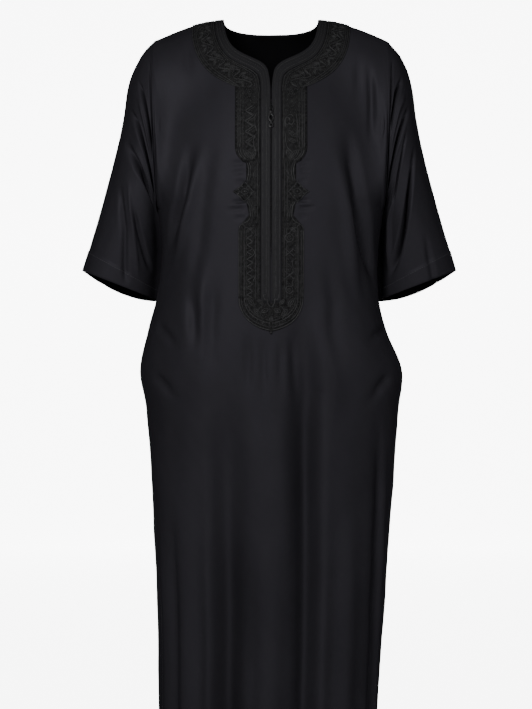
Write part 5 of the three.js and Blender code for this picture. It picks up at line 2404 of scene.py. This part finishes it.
@dataclass
class Studio:
    """A pale floor, a backdrop lit from behind, soft lights and the camera."""

    floor_z: float = -1530.0
    near_y: float = -6500.0
    floor_half: float = 5000.0
    join_y: float = 1300.0
    wall_y: float = 9600.0
    wall_top: float = 2600.0
    wall_half: float = 2300.0
    bend: float = 1500.0
    eye: tuple[float, float, float] = (-9.1, -5000.0, -609.0)
    lens: float = 139.49
    sensor: float = 36.0
    far: float = 60.0  # in metres, how far the camera sees
    air: float = 0.14  # the room's own light

    def sheet(self, name: str, line: Array, half: float, finish: Finish) -> None:
        """Lays one sheet of paper.

        Args:
            name: Its name.
            line: Its middle line as y and z.
            half: Half its width.
            finish: Its finish.
        """
        rows = [[(side * half, y, z) for side in (-1, 1)] for y, z in line]
        points = np.array(rows, float).reshape(-1, 3)
        mesh = bpy.data.meshes.new(name)
        mesh.from_pydata((points * MM).tolist(), [], grid_faces(len(rows), 2).tolist())
        mesh.shade_smooth()
        mesh.materials.append(material(finish))
        sheet = bpy.data.objects.new(name, mesh)
        bpy.context.scene.collection.objects.link(sheet)

    def papers(self) -> None:
        """Lays the floor, and behind it the backdrop that curves up into a wall."""
        floor = np.array([(self.near_y, self.floor_z), (self.join_y, self.floor_z)])
        self.sheet("floor_paper", floor, self.floor_half, Finish.FLOOR)
        turn = np.linspace(0, QUARTER, 16)
        y = self.wall_y - self.bend + self.bend * np.sin(turn)
        z = self.floor_z + self.bend * (1 - np.cos(turn))
        y, z = np.r_[self.join_y, y, self.wall_y], np.r_[self.floor_z, z, self.wall_top]
        self.sheet("backdrop_paper", np.stack([y, z], 1), self.wall_half, Finish.BACKDROP)

    def light(self, name: str, place: Colour, aim: Colour, size: float, power: float) -> None:
        """Hangs one soft light.

        Args:
            name: Its name.
            place: Where it hangs, in metres.
            aim: What it looks at, in metres.
            size: Its side, in metres.
            power: Its power in watts.
        """
        lamp = bpy.data.lights.new(name, "AREA")
        lamp.size = size
        lamp.energy = power
        holder = bpy.data.objects.new(name, lamp)
        holder.location = place
        holder.rotation_mode = "QUATERNION"
        holder.rotation_quaternion = (Vector(aim) - Vector(place)).to_track_quat("-Z", "Y")
        bpy.context.scene.collection.objects.link(holder)

    def lights(self) -> None:
        """Hangs the lights and sets the room's own light."""
        world = bpy.data.worlds.new("studio_air")
        bpy.context.scene.world = world
        world.use_nodes = True
        air = world.node_tree.nodes["Background"]
        air.inputs["Color"].default_value = (1, 1, 1, 1)
        air.inputs["Strength"].default_value = self.air
        self.light("key", (-0.85, -2.3, 0.4), (0, 0, -0.2), 0.75, 74)
        self.light("fill", (1.3, -2.3, 0.3), (0, 0, -0.25), 1.4, 38)

    def camera(self) -> None:
        """Sets up the camera at the height of the garment's middle."""
        data = bpy.data.cameras.new("camera")
        data.sensor_width = self.sensor
        data.lens = self.lens
        data.clip_end = self.far
        holder = bpy.data.objects.new("camera", data)
        holder.location = tuple(v * MM for v in self.eye)
        holder.rotation_euler = (QUARTER, 0, 0)
        bpy.context.scene.collection.objects.link(holder)
        bpy.context.scene.camera = holder


def report(piece: Piece) -> Piece:
    """Logs a piece that is done and hands it on."""
    log.info("%s: %d faces", piece.name, len(piece.data.polygons))
    return piece


def main() -> None:
    """Builds the garment piece by piece, then the studio round it."""
    logging.basicConfig(level=logging.INFO, format="%(name)s %(message)s")
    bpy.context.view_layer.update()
    cloth = BodyCloth()
    cloth.folds = body_folds(cloth)
    neck = Neckline(cloth)
    studio = Studio()
    studio.camera()

    panels = Panels(cloth, neck)
    front, back = (report(panels.build(side)) for side in Side)
    hem = report(panels.stitch_hem())
    for hand, swing, clear in ((Hand.RIGHT, 7.0, 12.0), (Hand.LEFT, 0.0, 0.0)):
        sleeve = Sleeve(SleeveCloth(hand, swing, clear, sleeve_folds(hand)))
        parts = sleeve.build(), sleeve.stitch_hem(), sleeve.stitch_armhole()
        [report(part) for part in parts]
    pockets = [Pocket(cloth, hand) for hand in Hand]
    bags = [report(pocket.build()) for pocket in pockets]
    mouths = [report(pocket.stitches()) for pocket in pockets]

    edging = Edging(cloth, neck)
    strips = [report(edging.front(hand)) for hand in Hand]
    strip_back = report(edging.back())
    cords = report(edging.cords())
    needle = Embroidery(cloth, neck)
    front_work = [report(needle.front_ground()), report(needle.front_needlework())]
    back_work = [report(needle.back_ground()), report(needle.back_needlework())]

    zip_set = Zip(cloth, neck)
    tapes = [report(zip_set.tapes(hand)) for hand in Hand]
    teeth = report(zip_set.teeth())
    report(zip_set.slider())
    report(zip_set.pull())

    studio.papers()
    studio.lights()


if __name__ == "__main__":
    main()
